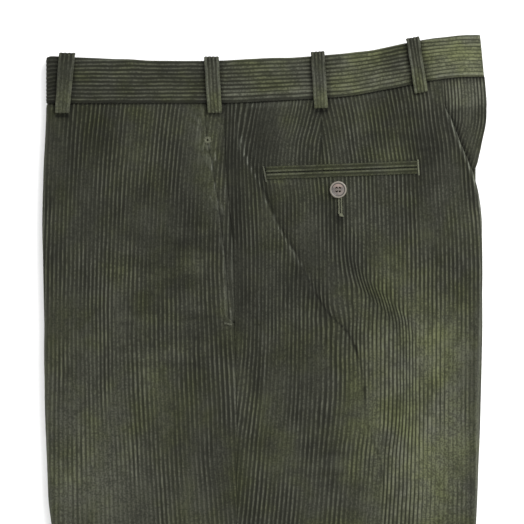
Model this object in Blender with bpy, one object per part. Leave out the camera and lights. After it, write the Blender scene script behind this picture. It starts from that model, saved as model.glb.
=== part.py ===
"""Wide-wale corduroy trousers, folded crease to crease and lying flat with the right leg below.

Sizes are in millimetres, and MM turns them into Blender's metres. A place on the garment is given
by x (across, with the front creases at -x and the centre back at +x) and by down (from the
waistband's highest point towards the hems, along -y). z is the height above the surface below.
"""

import math

import bmesh
import bpy
import numpy as np

MM = 0.001
LENGTH = 1080.0  # waistband's highest point to the hems
CLOTH = 1.8  # wall of corduroy, to the crest of a wale
WALE = 3.75  # width of one wale and its furrow
RELIEF = 0.5  # depth of the furrow
GAP = 0.3  # between two pieces that touch
LIP = 8.0  # how far a panel goes on inside its crease
LEG = 7.4  # thickness of one folded leg at its creases
HEM_STEP = 2.0  # the upper leg's hem stops short of the lower one's
INSIDE_STEP = 4  # the plain inside of a panel has a point every so many half wales
WELD = 2e-5  # metres: points nearer than this become one
SETTLE = 8  # rounds that settle a point of a row, as the row itself lies further down or up with x
MEET = GAP / 2  # each panel stops this short of a seam

BAND = 38.0  # height of the waistband
BAND_WALL = 3.5  # two layers of corduroy and the interlining
BAND_WALES = 10
BAND_TUCK = 75.0  # waistband inside the front crease, up to the centre front
BAND_LIP = 8.0
BAND_FRONT = -194.8  # x of the waistband's fold at the front crease
BAND_END = 197.0  # x of its cut end at the centre back
RIGHT_BAND_FRONT, RIGHT_BAND_BACK = -194.4, 197.3
BAND_RUN = (182, 174, 166, 158, 148, 136, 124, 112, 97, 82, 68, 46, 23, -7, -37, -120)
BAND_TURN = range(0, 181, 30)  # degrees round a fold
BAND_INSIDE = 40.0  # one more section lies this far past the fold
SLANT_STEP = 1.0  # the pocket facing lies this far below the front panel

LOOP_WIDTH = 12.2
LOOP_WALL = 2.2
LOOP_WALES = 4
LOOP_BELOW = 9.0  # how far a loop reaches below the waistband
LOOP_ARCH = 1.0
LOOP_HOOK = 3.0  # how far a loop's top turns down behind the waistband's edge
LOOP_BEND = 3.0  # a loop leaves the waistband this far inside its two edges

JET_HEIGHT = 5.6
JET_WALL = 1.3
POCKET_SLIT = 0.5

BUTTON_RADIUS = 7.6
BUTTON_HOLE = 0.95  # radius of each hole
BUTTON_HOLES_OUT = 2.1  # from the centre to each hole's centre
BUTTON_X, BUTTON_DOWN = 66.1, 138.2
ROUND = 28


def table(names, *rows):
    """A small table: its columns by name. The first column is what the others depend on."""
    names = names.split()
    return {name: np.array([row[i] for row in rows], float) for i, name in enumerate(names)}


# The waist seam, from the front crease to the centre back, and the waistband's height above it.
WAIST = table(
    "x seam band_z",
    (-195, 61.0, 15.4),
    (-120, 61.0, 15.6),
    (-37, 60.7, 15.6),
    (23, 58.0, 15.5),
    (68, 55.4, 15.3),
    (112, 48.2, 15.0),
    (146, 41.5, 14.6),
    (162, 39.0, 14.2),
    (178, 37.5, 12.4),
    (197, 37.2, 11.2),
)

# The creases and seams of the upper leg, and the back crease or centre back of the lower one.
OUTLINE = table(
    "down front_fold slant side_seam back_fold far_back",
    (36, -194.8, -53.6, -35.0, 160.7, 197.6),
    (61, -194.6, -53.6, -35.0, 161.2, 198.2),
    (74, -194.9, -52.6, -34.9, 167.2, 197.1),
    (95, -195.8, -50.9, -34.8, 175.2, 193.8),
    (113, -196.8, -46.8, -33.9, 183.2, 191.2),
    (126, -197.3, -45.2, -33.0, 189.2, 189.4),
    (147, -197.8, -41.6, -31.3, 191.4, 190.8),
    (170, -198.2, -38.6, -29.6, 193.6, 193.0),
    (213, -197.4, -33.5, -27.5, 194.4, 194.4),
    (252, -196.5, -31.5, -26.4, 193.1, 194.6),
    (258, -196.4, -26.4, -26.3, 192.9, 194.6),
    (285, -196.4, -25.4, -25.4, 191.8, 193.8),
    (328, -196.3, -24.1, -24.1, 190.0, 192.0),
    (370, -194.7, -24.1, -24.1, 190.2, 191.1),
    (413, -192.8, -24.1, -24.1, 189.3, 188.8),
    (436, -190.4, -24.1, -24.1, 188.4, 187.9),
    (520, -179.5, -23.5, -23.5, 176.0, 175.0),
    (600, -167.0, -23.0, -23.0, 160.5, 159.5),
    (700, -152.0, -22.0, -22.0, 145.5, 144.5),
    (850, -137.0, -21.0, -21.0, 125.0, 124.0),
    (1080, -124.0, -20.0, -20.0, 101.0, 100.0),
)

# Heights of the upper leg: its two creases, the underside of its back lip, and the crown between.
LEVELS = table(
    "down front_top back_top back_lip crown",
    (36, 14.3, 13.6, 9.8, 0.8),
    (61, 14.4, 13.7, 9.8, 1.2),
    (90, 14.8, 13.8, 9.8, 2.4),
    (128, 15.1, 14.1, 9.8, 3.8),
    (162, 15.1, 15.1, 7.7, 4.5),
    (300, 15.1, 15.1, 7.7, 4.6),
    (436, 15.1, 15.1, 7.7, 3.6),
    (700, 15.1, 15.1, 7.7, 1.5),
    (1000, 15.1, 15.1, 7.7, 0.2),
    (1080, 15.1, 15.1, 7.7, 0.0),
)
FRONT_LIP_Z = 7.7

# Where the wales run: x of every tenth wale. Wale 38 of the back meets the dart from both sides.
FRONT_WALES = table(
    "down w0 w10 w20 w30 w40",
    (61, -189.3, -150.0, -112.5, -75.0, -37.5),
    (98, -191.1, -153.6, -116.1, -79.5, -43.0),
    (152, -192.9, -157.1, -119.6, -83.5, -46.4),
    (205, -194.6, -158.0, -122.3, -85.3, -47.6),
    (259, -195.5, -158.5, -123.6, -84.6, -45.2),
    (312, -196.4, -158.0, -122.3, -83.5, -42.9),
    (357, -197.3, -157.1, -119.6, -81.6, -41.1),
    (436, -198.2, -155.4, -115.2, -76.8, -35.7),
    (700, -159.8, -117.0, -78.0, -40.5, -3.0),
    (1080, -131.8, -89.0, -50.0, -12.5, 25.0),
)
BACK_WALES = table(
    "down w0 w10 w20 w30 w38_right w38_left w50 w60",
    (61, 180.4, 144.6, 108.0, 71.4, 41.1, 61.6, 17.0, -20.5),
    (80, 183.0, 146.6, 111.2, 75.0, 45.5, 56.3, 12.9, -24.6),
    (98, 185.7, 149.1, 113.4, 77.7, 49.1, 51.8, 8.9, -28.0),
    (114, 186.6, 150.9, 115.6, 80.0, 50.9, 50.9, 7.8, -28.6),
    (152, 189.3, 153.2, 117.0, 81.3, 53.4, 53.4, 12.0, -23.0),
    (205, 192.5, 155.4, 119.6, 84.5, 56.8, 56.8, 12.6, -20.8),
    (259, 192.9, 155.6, 120.9, 88.0, 58.0, 58.0, 12.8, -21.8),
    (312, 192.9, 155.4, 121.6, 87.2, 56.4, 56.4, 10.4, -26.0),
    (357, 192.9, 155.2, 119.9, 86.0, 54.4, 54.4, 7.1, -31.5),
    (436, 194.6, 153.6, 116.1, 80.4, 47.3, 47.3, 0.0, -39.3),
    (700, 151.7, 110.7, 73.2, 37.5, 7.5, 7.5, -37.5, -75.0),
    (1080, 107.2, 66.2, 28.7, -7.0, -37.0, -37.0, -82.0, -119.5),
)
DART_X, DART_TIP = 50.9, 114.0
DART_WALE = 38

# The largest creases that run down the upper leg: x and height of each, and its half width.
DRAG_CREASE = table(
    "down x height",
    (78, -25, 0.0),
    (112, -15, -0.5),
    (165, 9, -1.1),
    (205, 32, -1.1),
    (250, 60, -1.1),
    (265, 73, -0.9),
    (340, 92, -0.8),
    (400, 105, 0.0),
)
POCKET_RIDGE = table(
    "down x height",
    (105, 136, 0.0),
    (133, 144, 0.9),
    (165, 155, 0.9),
    (205, 158, 0.0),
)
THIGH_RIDGE = table(
    "down x height",
    (225, -3, 0.0),
    (270, -1, 0.9),
    (320, 1, 0.9),
    (365, -5, 0.7),
    (420, -10, 0.0),
)
CREASES = ((DRAG_CREASE, 6.0), (POCKET_RIDGE, 9.0), (THIGH_RIDGE, 12.0))
SEAM_GROOVE, SEAM_GROOVE_WIDTH = -0.7, 3.0

# Rows of points down a panel, named by how far down they are at the front crease.
ROWS = (61, 76, 104, 140, 165, 205, 252, 258, 310, 375, 450, 560, 700, 880, LENGTH)
FAR_FLAT = 10  # points across the flat underside of a lower panel
FAR_SEAM = 1.0  # the lower panels stop this short of their waist seam
FACING_ROWS = (61, 76, 104, 140, 165, 205, 252, 256)
SEAT_ROWS = (61, 76, 104, 136)
SEAT_TUCK = 15.0  # how far the seat goes on under the back crease
SEAT_Z = LEG + GAP
ROWS_LEVEL_AT = 205.0  # from here down the rows run straight across

# The hidden layers: how far inside each crease they stop, how much further their slot goes for the
# lips, and the heights of the upper edge's underside and of the lower edge. top is 0 under the crown.
INNER = table(
    "down front_in back_in slot near_low top far_low far_high",
    (26, 78.5, 17.5, 1.0, 8.4, 0.0, 3.9, 6.6),
    (61.2, 78.5, 17.5, 1.0, 8.4, 0.0, 3.9, 6.6),
    (76, 8.0, 17.5, 5.5, 9.8, 0.0, 2.1, 5.3),
    (165, 8.0, 17.5, 5.5, 9.8, 0.0, 2.1, 5.3),
    (205, 8.0, 8.0, 5.5, 9.8, 0.0, 2.1, 5.3),
    (1040, 8.0, 8.0, 5.5, 9.8, 0.0, 2.1, 5.3),
    (1048, 13.5, 13.5, 0.6, 9.8, 0.0, 2.1, 5.3),
    (1052, 13.5, 13.5, 0.6, 8.6, 9.5, 5.6, 6.5),
    (1075, 13.5, 13.5, 0.6, 8.6, 9.5, 5.6, 6.5),
)
INNER_CLEAR = 2.0  # between the hidden layers and the smooth crown of the upper panels
INNER_ACROSS = 9

LOOPS = (
    ("front_belt_loop", -176.0, -180.2),
    ("side_belt_loop", -46.9, -44.2),
    ("pocket_belt_loop", 48.1, 50.9),
    ("back_belt_loop", 132.9, 140.0),
)
# The slit of the back pocket.
POCKET = table("x down", (2.0, 123.4), (68.0, 120.9), (136.6, 118.2))
JET_STATION = 7.5
JET_SECTION = table("across rise", (0, 0.3), (0.08, 0.75), (0.3, 1), (0.7, 1), (0.92, 0.75), (1, 0.3))

# The button's turned outline, from its underside over the rim into the dish.
BUTTON = table("radius z", (6.2, 0.0), (7.6, 1.2), (7.6, 2.3), (6.9, 3.0), (6.1, 2.8), (5.2, 2.2))

COLOURS = {
    "cord": (0.045, 0.050, 0.034),
    "cord_light": (0.062, 0.068, 0.044),
    "inside": (0.040, 0.043, 0.032),
    "button": (0.20, 0.15, 0.12),
}


def smooth(rows, name, at):
    """A column of a table at some place, along a curve that keeps between neighbouring rows."""
    x, y = list(rows.values())[0], rows[name]
    at = np.clip(at, x[0], x[-1])
    width = np.diff(x)
    slope = np.diff(y) / width
    product = slope[:-1] * slope[1:]
    total = np.where(product > 0, slope[:-1] + slope[1:], 1.0)
    tangent = np.concatenate(
        [slope[:1], np.where(product > 0, 2 * product / total, 0.0), slope[-1:]]
    )
    i = np.clip(np.searchsorted(x, at) - 1, 0, len(width) - 1)
    t = (at - x[i]) / width[i]
    return (
        (1 + 2 * t) * (1 - t) ** 2 * y[i]
        + t * (1 - t) ** 2 * width[i] * tangent[i]
        + t * t * (3 - 2 * t) * y[i + 1]
        + t * t * (t - 1) * width[i] * tangent[i + 1]
    )


def ease(t):
    t = np.clip(t, 0.0, 1.0)
    return t * t * (3 - 2 * t)


def row_down(x, row):
    """How far down a row lies at x: near the waist the rows follow the waist seam."""
    rise = smooth(WAIST, "seam", x) - ROWS[0]
    return row + rise * (1 - ease((row - ROWS[0]) / (ROWS_LEVEL_AT - ROWS[0])))


def edge_x(name, down):
    """x of a crease or seam, straight from each row of points to the next."""
    near = {"front_fold": -190.0, "slant": -45.0, "side_seam": -30.0}.get(name, 190.0)
    downs = row_down(near, np.array(ROWS, float))
    return np.interp(down, downs, smooth(OUTLINE, name, downs))


def crown(x, down):
    """Height of the upper leg without its creases, to the crest of the wales."""
    front, back = edge_x("front_fold", down), edge_x("back_fold", down)
    share = np.clip((x - front) / (back - front), 0.0, 1.0)
    low, high = smooth(LEVELS, "front_top", down), smooth(LEVELS, "back_top", down)
    bulge = smooth(LEVELS, "crown", down) * (1 - (2 * share - 1) ** 4)
    return low + (high - low) * ease(share) + bulge


def top(x, down):
    """Height of the upper leg with its creases and the groove of its side seam."""
    height = crown(x, down)
    for crease, width in CREASES:
        inside = (down > crease["down"][0]) & (down < crease["down"][-1])
        off = (x - smooth(crease, "x", down)) / width
        height = height + np.where(inside, smooth(crease, "height", down), 0) * np.exp(-off * off)
    off = (x - edge_x("side_seam", down)) / SEAM_GROOVE_WIDTH
    return height + SEAM_GROOVE * np.exp(-off * off)


def lying(x, down):
    """Height of the upper leg's faceted panels, for the pieces that lie on them."""
    downs = [float(row_down(x, row)) for row in ROWS]
    r = int(np.clip(np.searchsorted(downs, down) - 1, 0, len(ROWS) - 2))
    share = (down - downs[r]) / (downs[r + 1] - downs[r])
    share = min(max(share, 0.0), 1.0)
    return float(top(x, downs[r]) * (1 - share) + top(x, downs[r + 1]) * share)


def front_wale(number, down):
    """x of a wale of the front, counted from the front crease."""
    guides = [smooth(FRONT_WALES, f"w{n}", down) for n in (0, 10, 20, 30, 40)]
    return between((0, 10, 20, 30, 40), guides, number)


def back_wale(number, down):
    """x of a wale of the back, counted from the back crease. The dart cuts off some of them."""
    if number < DART_WALE:
        names = {0: "w0", 10: "w10", 20: "w20", 30: "w30", 38: "w38_right"}
        x = between(tuple(names), [smooth(BACK_WALES, n, down) for n in names.values()], number)
        return max(x, DART_X) if down < DART_TIP else x
    names = {38: "w38_left", 50: "w50", 60: "w60"}
    x = between(tuple(names), [smooth(BACK_WALES, n, down) for n in names.values()], number)
    return min(x, DART_X) if down < DART_TIP else x


def between(numbers, guides, number):
    """x of a wale between two guides, or past the last of them at their spacing."""
    i = int(np.clip(np.searchsorted(numbers, number) - 1, 0, len(numbers) - 2))
    share = (number - numbers[i]) / (numbers[i + 1] - numbers[i])
    return float(guides[i] * (1 - share) + guides[i + 1] * share)


def crease_of(side, down):
    """The crease at one side of the upper leg: its x, the radius of its fold and its middle height."""
    edge = float(edge_x("front_fold" if side < 0 else "back_fold", down))
    low = FRONT_LIP_Z if side < 0 else float(smooth(LEVELS, "back_lip", down))
    radius = (float(crown(edge, down)) - low) / 2
    radius = (float(crown(edge - side * radius, down)) - low) / 2  # as high as where the fold starts
    return edge, radius, low + radius


def wrapped(side, x, down, depth):
    """A point of an upper panel: over the top, round the crease and along the lip inside."""
    edge, radius, middle = crease_of(side, down)
    past = side * (x - edge) + radius
    if past <= 0:
        return x, float(top(x, down)) - depth
    past = min(past, math.pi * radius + LIP)
    angle = min(past / radius, math.pi)
    run = max(past - math.pi * radius, 0.0)
    return (
        edge - side * (radius + run) + side * (radius - depth) * math.sin(angle),
        middle + (radius - depth) * math.cos(angle),
    )


def place(x, down, z):
    return (x, LENGTH / 2 - down, z)


def sheet_faces(rows, columns, step):
    """Faces of a closed wall: a grid outside, and every step-th column of it inside."""
    inside_columns = (columns - 1) // step + 1
    first = rows * columns

    def out(r, c):
        return r * columns + c

    def under(r, c):
        return first + r * inside_columns + c

    faces = []
    for r in range(rows - 1):
        for c in range(columns - 1):
            faces.append((out(r, c), out(r, c + 1), out(r + 1, c + 1), out(r + 1, c)))
        for c in range(inside_columns - 1):
            faces.append((under(r, c), under(r + 1, c), under(r + 1, c + 1), under(r, c + 1)))
        faces.append((out(r, 0), out(r + 1, 0), under(r + 1, 0), under(r, 0)))
        last = inside_columns - 1
        faces.append(
            (out(r, columns - 1), under(r, last), under(r + 1, last), out(r + 1, columns - 1))
        )
    for r in (0, rows - 1):
        for c in range(inside_columns - 1):
            edge = [out(r, k) for k in range(c * step, (c + 1) * step + 1)]
            faces.append((*edge, under(r, c + 1), under(r, c)))
    return faces


def sweep_faces(stations, around):
    """Faces of a closed outline carried along stations, with an end face at both ends."""
    faces = [tuple(range(around)), tuple((stations - 1) * around + k for k in range(around))]
    for s in range(stations - 1):
        for k in range(around):
            n = (k + 1) % around
            faces.append(
                (s * around + k, s * around + n, (s + 1) * around + n, (s + 1) * around + k)
            )
    return faces


def material_of(name, colour, roughness):
    material = bpy.data.materials.new(name)
    material.use_nodes = True
    shader = material.node_tree.nodes["Principled BSDF"]
    shader.inputs["Base Color"].default_value = (*COLOURS[colour], 1)
    shader.inputs["Roughness"].default_value = roughness
    return material


def solid(name, points, faces, colour="cord", roughness=0.9):
    """A named object of these points, in millimetres, with faces outward and its own material."""
    mesh = bpy.data.meshes.new(name)
    mesh.from_pydata((np.array(points, float) * MM).tolist(), [], faces)
    shaped = bmesh.new()
    shaped.from_mesh(mesh)
    bmesh.ops.remove_doubles(shaped, verts=shaped.verts, dist=WELD)
    bmesh.ops.recalc_face_normals(shaped, faces=shaped.faces)
    shaped.to_mesh(mesh)
    shaped.free()
    thing = bpy.data.objects.new(name, mesh)
    mesh.materials.append(material_of(f"{name}_material", colour, roughness))
    bpy.context.scene.collection.objects.link(thing)
    return thing


def panel(name, rows, numbers, wale_x, limits, section, hem=LENGTH):
    """A panel with raised wales outside and a plain inside.

    limits gives the least and greatest x at some place down, and section the x and z of the point
    that lies a depth under the crests. A wale that runs out past a limit, or into the dart, ends
    there.
    """
    outside, inside = [], []
    for row in rows:
        low = settled(row, lambda down: limits(down)[0])
        high = settled(row, lambda down: limits(down)[1])
        for c, number in enumerate(numbers):
            x = settled(row, lambda down, n=number: wale_x(n, down))
            cut = not low < x < high or x == DART_X
            x = min(max(x, low), high)
            down = float(row_down(x, row))
            furrow = RELIEF / 2 if cut else RELIEF * (c % 2)
            for depth, group in ((furrow, outside), (CLOTH, inside)):
                if group is inside and c % INSIDE_STEP:
                    continue
                across, z = section(x, down, depth)
                at = float(row_down(across, row)) + (GAP if row == ROWS[0] else 0.0)
                group.append(place(across, min(at, hem), z))
    faces = sheet_faces(len(rows), len(numbers), INSIDE_STEP)
    return solid(name, outside + inside, faces)


def settled(row, x_at):
    """The x on a row of something whose x is known by how far down it is."""
    down = float(row)
    for _ in range(SETTLE):
        x = x_at(down)
        down = float(row_down(x, row))
    return x


def half_wales(first, last):
    """Crests and furrows from one wale to another, a whole number of inside steps."""
    count = math.ceil((last - first) * 2 / INSIDE_STEP) * INSIDE_STEP
    return [first + k / 2 for k in range(count + 1)]


def lip_end(side, down):
    """The x, as if the cloth went straight on, at which a panel's lip ends."""
    edge, radius, _ = crease_of(side, down)
    return edge + side * (math.pi * radius + LIP - radius)


def make_left_front():
    def limits(down):
        seam = min(edge_x("slant", down), edge_x("side_seam", down))
        return lip_end(-1, down), float(seam) - MEET

    def section(x, down, depth):
        return wrapped(-1, x, down, depth)

    numbers = half_wales(-4, 45)
    panel("left_front", ROWS, numbers, front_wale, limits, section, LENGTH - HEM_STEP)


def make_left_back():
    def limits(down):
        return float(edge_x("side_seam", down)) + MEET, lip_end(1, down)

    def section(x, down, depth):
        return wrapped(1, x, down, depth)

    numbers = half_wales(-6, 64)
    panel("left_back", ROWS, numbers, back_wale, limits, section, LENGTH - HEM_STEP)


def make_pocket_facing():
    """The strip of corduroy that shows between the slanting pocket mouth and the side seam."""

    def limits(down):
        return (
            float(edge_x("slant", down)) + MEET,
            float(edge_x("side_seam", down)) - MEET,
        )

    def section(x, down, depth):
        return x, float(top(x, down)) - SLANT_STEP - depth

    panel("left_pocket_facing", FACING_ROWS, half_wales(34, 44), front_wale, limits, section)


def make_left_seat():
    """The left back past its crease, up to the centre back seam, a layer lower."""

    def limits(down):
        return (
            float(edge_x("back_fold", down)) - SEAT_TUCK,
            float(edge_x("far_back", down)) - GAP,
        )

    def seat_wale(number, down):
        return float(edge_x("far_back", down)) - WALE * number

    def section(x, down, depth):
        return x, SEAT_Z + CLOTH - depth

    panel("left_seat", SEAT_ROWS, half_wales(0, 16), seat_wale, limits, section)


def far_panel(name, side, fold):
    """A panel of the lower leg: flat underneath, round its crease and along a lip inside."""
    radius = LEG / 2
    end = math.pi * radius + LIP
    turned = math.ceil(end / (WALE / 2))
    turned += (FAR_FLAT + turned) % 2
    columns = FAR_FLAT + 1 + turned
    outside, inside = [], []
    for row in ROWS:
        seam = settled(row, lambda down: float(edge_x("side_seam", down)) + side * MEET)
        turn = settled(row, lambda down: fold(down) - side * radius)
        for c in range(columns):
            past = min(max(c - FAR_FLAT, 0) * WALE / 2, end)
            angle = min(past / radius, math.pi)
            run = max(past - math.pi * radius, 0.0)
            x = seam + (turn - seam) * min(c / FAR_FLAT, 1.0)
            furrow = RELIEF * (c % 2) if 0 < past < end else 0.0
            for depth, group in ((furrow, outside), (CLOTH, inside)):
                if group is inside and c % 2:
                    continue
                across = x + side * ((radius - depth) * math.sin(angle) - run)
                at = float(row_down(across, row)) + (FAR_SEAM if row == ROWS[0] else 0.0)
                group.append(place(across, at, radius - (radius - depth) * math.cos(angle)))
    solid(name, outside + inside, sheet_faces(len(ROWS), columns, 2), "inside")


def make_right_leg():
    def front_fold(down):
        return float(edge_x("front_fold", down)) + GAP

    def back_fold(down):
        return float(edge_x("far_back", down))

    far_panel("right_front", -1, front_fold)
    far_panel("right_back", 1, back_fold)


def inner_section(row):
    """One section through the hidden layers: its outline, and how many points an edge takes."""
    columns = list(INNER)[1:]
    values = [float(np.interp(row, INNER["down"], INNER[name])) for name in columns]
    front_in, back_in, slot, near_low, highest, far_low, far_high = values
    at_back = float(row_down(150.0, row))
    front = float(edge_x("front_fold", row)) + front_in
    back = float(min(edge_x("back_fold", at_back), edge_x("far_back", at_back))) - back_in

    def high(x):
        band = float(smooth(WAIST, "band_z", x)) - BAND_WALL - 2 * GAP
        if row < ROWS[1]:
            return band
        panel_z = float(crown(x, float(row_down(x, row)))) - CLOTH - INNER_CLEAR
        return min(panel_z, highest) if highest else panel_z

    def edge_at(x, side):
        points = []
        for low, tall in ((near_low, high(x)), (far_low, far_high)):
            radius = (tall - low) / 2
            for degrees in (90, 45, 0, -45, -90):
                angle = math.radians(degrees)
                points.append(
                    (x + side * radius * math.cos(angle), low + radius * (1 + math.sin(angle)))
                )
            if low == near_low:
                points += [(x - side * slot, near_low), (x - side * slot, far_high)]
        return points

    across = [front + (back - front) * i / INNER_ACROSS for i in range(1, INNER_ACROSS)]
    right = edge_at(back, 1)
    outline = [(x, high(x)) for x in across] + right
    outline += [(x, far_low) for x in across[::-1]] + edge_at(front, -1)[::-1]
    return [place(x, float(row_down(x, row)), z) for x, z in outline], len(right)


def make_inner_layers():
    """Everything hidden between the outer panels, as one solid with two edges at each side."""
    rows = sorted({*INNER["down"], *ROWS[2:-1]})
    sections = [inner_section(float(row)) for row in rows]
    edge, around = sections[0][1], len(sections[0][0])
    points = [point for section, _ in sections for point in section]
    faces = sweep_faces(len(sections), around)[2:]
    middle = INNER_ACROSS - 1
    # An end is closed by a strip of quads between its two edges, and a face over each edge.
    for first in (0, (len(sections) - 1) * around):
        for i in range(middle - 1):
            other = 2 * middle + edge - 1 - i
            faces.append((first + i, first + i + 1, first + other - 1, first + other))
        faces.append(tuple(first + i for i in range(middle - 1, middle + edge + 1)))
        faces.append((first, *(first + i for i in range(2 * middle + edge - 1, around))))
    solid("inner_layers", points, faces, "inside")


def band_outline(ribs):
    """The waistband's section, as (height above the seam, depth), from the seam up and back."""
    pitch = (BAND - BAND_WALL / 2) / (2 * BAND_WALES)
    steps = range(2 * BAND_WALES + 1) if ribs else (0, 2 * BAND_WALES)
    face = [(k * pitch, (RELIEF if k % 2 == 0 else 0.0) if ribs else 0.0) for k in steps]
    face[-1] = (face[-1][0], 0.2)
    half = BAND_WALL / 2
    turn = [
        (BAND - half + half * math.sin(math.radians(a)), half - half * math.cos(math.radians(a)))
        for a in (45, 90, 135, 180)
    ]
    return face + turn + [(0.0, BAND_WALL)]


def make_left_waistband():
    """The upper waistband: centre back, over the top, round the front crease, to the centre front."""
    outline = band_outline(True)
    radius = (float(WAIST["band_z"][0]) - FRONT_LIP_Z) / 2
    fold = BAND_FRONT + radius
    stations = [(x, 0) for x in (BAND_END, 190, *BAND_RUN)]
    stations += [(fold, a) for a in BAND_TURN]
    stations += [(BAND_FRONT + BAND_INSIDE, 180), (BAND_FRONT + BAND_TUCK, 180)]
    points = []
    for x, degrees in stations:
        angle = math.radians(degrees)
        seam_x = x if degrees == 0 else fold
        for height, depth in outline:
            if degrees == 0:
                across, z = x, float(smooth(WAIST, "band_z", x)) - depth
            else:
                across = x - (radius - depth) * math.sin(angle)
                z = FRONT_LIP_Z + radius + (radius - depth) * math.cos(angle)
            down = float(smooth(WAIST, "seam", seam_x)) - height
            points.append(place(across, down, z))
    solid("left_waistband", points, sweep_faces(len(stations), len(outline)), "cord_light")


def make_right_waistband():
    """The lower waistband: flat underneath, round the centre back and round the front crease."""
    outline = band_outline(False)
    radius = LEG / 2
    back, front = RIGHT_BAND_BACK - radius, RIGHT_BAND_FRONT + radius
    stations = [(back - BAND_LIP, 1, 180)]
    stations += [(back, 1, 180 - a) for a in BAND_TURN]
    stations += [(x, 1, 0) for x in BAND_RUN]
    stations += [(front, -1, a) for a in BAND_TURN]
    stations += [(RIGHT_BAND_FRONT + inside, -1, 180) for inside in (BAND_INSIDE, BAND_TUCK)]
    points = []
    for x, side, degrees in stations:
        angle = math.radians(degrees)
        seam_x = min(max(x, front), back)
        if degrees == 180:
            seam_x = back if side > 0 else front
        for height, depth in outline:
            across = x + side * (radius - depth) * math.sin(angle)
            down = float(smooth(WAIST, "seam", seam_x)) - height
            points.append(place(across, down, radius - (radius - depth) * math.cos(angle)))
    solid("right_waistband", points, sweep_faces(len(stations), len(outline)), "cord_light")


def loop_path(x_top, x_bottom):
    """The line of a belt loop's face over the waistband, as (x, down, z), from its hidden top."""
    seam = float(smooth(WAIST, "seam", x_bottom))
    edge = float(smooth(WAIST, "seam", x_top)) - BAND
    sides = (-LOOP_WIDTH / 2, 0.0, LOOP_WIDTH / 2)
    band_z = max(
        float(smooth(WAIST, "band_z", x + side)) for x in (x_top, x_bottom) for side in sides
    )
    end = seam + LOOP_BELOW
    panel_z = max(lying(x_bottom + side, end + up) for side in sides for up in (-5, 0))
    over = GAP + LOOP_WALL
    route = [(edge - over, band_z - LOOP_HOOK), (edge - over, band_z + GAP)]
    route += [(edge - over * 0.7, band_z + over * 0.8), (edge + 0.5, band_z + over)]
    for share in (0.2, 0.4, 0.6, 0.8):
        down = edge + LOOP_BEND + (BAND - 2 * LOOP_BEND) * share
        route.append((down, band_z + over + LOOP_ARCH * math.sin(math.pi * share)))
    route += [(seam - 0.5, band_z + over), (seam + LOOP_BEND, (band_z + panel_z) / 2 + over)]
    route += [(end, panel_z + over)]
    lean = (x_bottom - x_top) / (end - edge)
    return [(x_top + lean * (down - edge), down, z) for down, z in route]


def make_loop(name, x_top, x_bottom):
    path = np.array(loop_path(x_top, x_bottom))
    ahead = np.gradient(path[:, 1:], axis=0)
    ahead /= np.linalg.norm(ahead, axis=1)[:, None]
    ahead[0] = (0.0, 1.0)
    half = LOOP_WIDTH / 2
    slope = float(smooth(WAIST, "seam", x_top + half) - smooth(WAIST, "seam", x_top - half))
    slope /= LOOP_WIDTH
    steps = 2 * LOOP_WALES
    face = [(-half + half * k / LOOP_WALES, RELIEF * (k % 2 == 0)) for k in range(steps + 1)]
    outline = face + [(half, LOOP_WALL), (-half, LOOP_WALL)]
    points = []
    for (x, down, z), (ahead_down, ahead_z) in zip(path, ahead):
        for across, depth in outline:
            inward = down + ahead_z * depth
            points.append(place(x + across, inward + slope * across, z - ahead_down * depth))
    solid(name, points, sweep_faces(len(path), len(outline)), "cord_light")


def make_jets():
    """The two narrow welts of the back pocket, which lie on the back panel."""
    first, last = POCKET["x"][0], POCKET["x"][-1]
    count = round((last - first) / JET_STATION)
    for name, way in (("upper_jet", -1), ("lower_jet", 1)):
        points = []
        for k in range(count + 1):
            x = first + (last - first) * k / count
            slit = float(smooth(POCKET, "down", x))
            downs = slit + way * (POCKET_SLIT / 2 + JET_HEIGHT * JET_SECTION["across"])
            base = [lying(x, down) + GAP for down in downs]
            for down, z, rise in zip(downs, base, JET_SECTION["rise"]):
                points.append(place(x, down, z + JET_WALL * rise))
            points.append(place(x, downs[-1], base[-1]))
            points.append(place(x, downs[0], base[0]))
        solid(name, points, sweep_faces(count + 1, len(downs) + 2), "cord_light")


def make_button():
    """A four-hole button, turned with a rim and a shallow dish, standing in its buttonhole."""
    base = GAP + max(
        lying(
            BUTTON_X + BUTTON_RADIUS * math.cos(a) * share,
            BUTTON_DOWN + BUTTON_RADIUS * math.sin(a) * share,
        )
        for a in np.linspace(0, 2 * math.pi, 24)
        for share in (0.0, 0.5, 1.0)
    )
    points = []
    for radius, z in zip(BUTTON["radius"], BUTTON["z"]):
        for k in range(ROUND):
            a = 2 * math.pi * k / ROUND
            points.append((radius * math.cos(a), radius * math.sin(a), z))
    faces = sweep_faces(len(BUTTON["z"]), ROUND)
    button = solid("back_pocket_button", points, faces, "button", 0.35)
    button.location = np.array(place(BUTTON_X, BUTTON_DOWN, base)) * MM
    for k in range(4):
        a = math.pi / 4 + k * math.pi / 2
        x, y = BUTTON_HOLES_OUT * math.cos(a), BUTTON_HOLES_OUT * math.sin(a)
        bpy.ops.mesh.primitive_cylinder_add(
            vertices=12,
            radius=BUTTON_HOLE * MM,
            depth=BUTTON_RADIUS * MM,
            location=np.array(place(BUTTON_X + x, BUTTON_DOWN - y, base)) * MM,
        )
        cutter = bpy.context.object
        cutter.name = f"button_hole_cutter_{k}"
        cutter.hide_render = True
        cutter.display_type = "WIRE"
        cut = button.modifiers.new(f"hole_{k}", "BOOLEAN")
        cut.operation = "DIFFERENCE"
        cut.object = cutter


def main():
    for thing in list(bpy.data.objects):
        bpy.data.objects.remove(thing)
    make_left_front()
    make_left_back()
    make_pocket_facing()
    make_left_seat()
    make_right_leg()
    make_inner_layers()
    make_left_waistband()
    make_right_waistband()
    for loop in LOOPS:
        make_loop(*loop)
    make_jets()
    make_button()


main()
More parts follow.
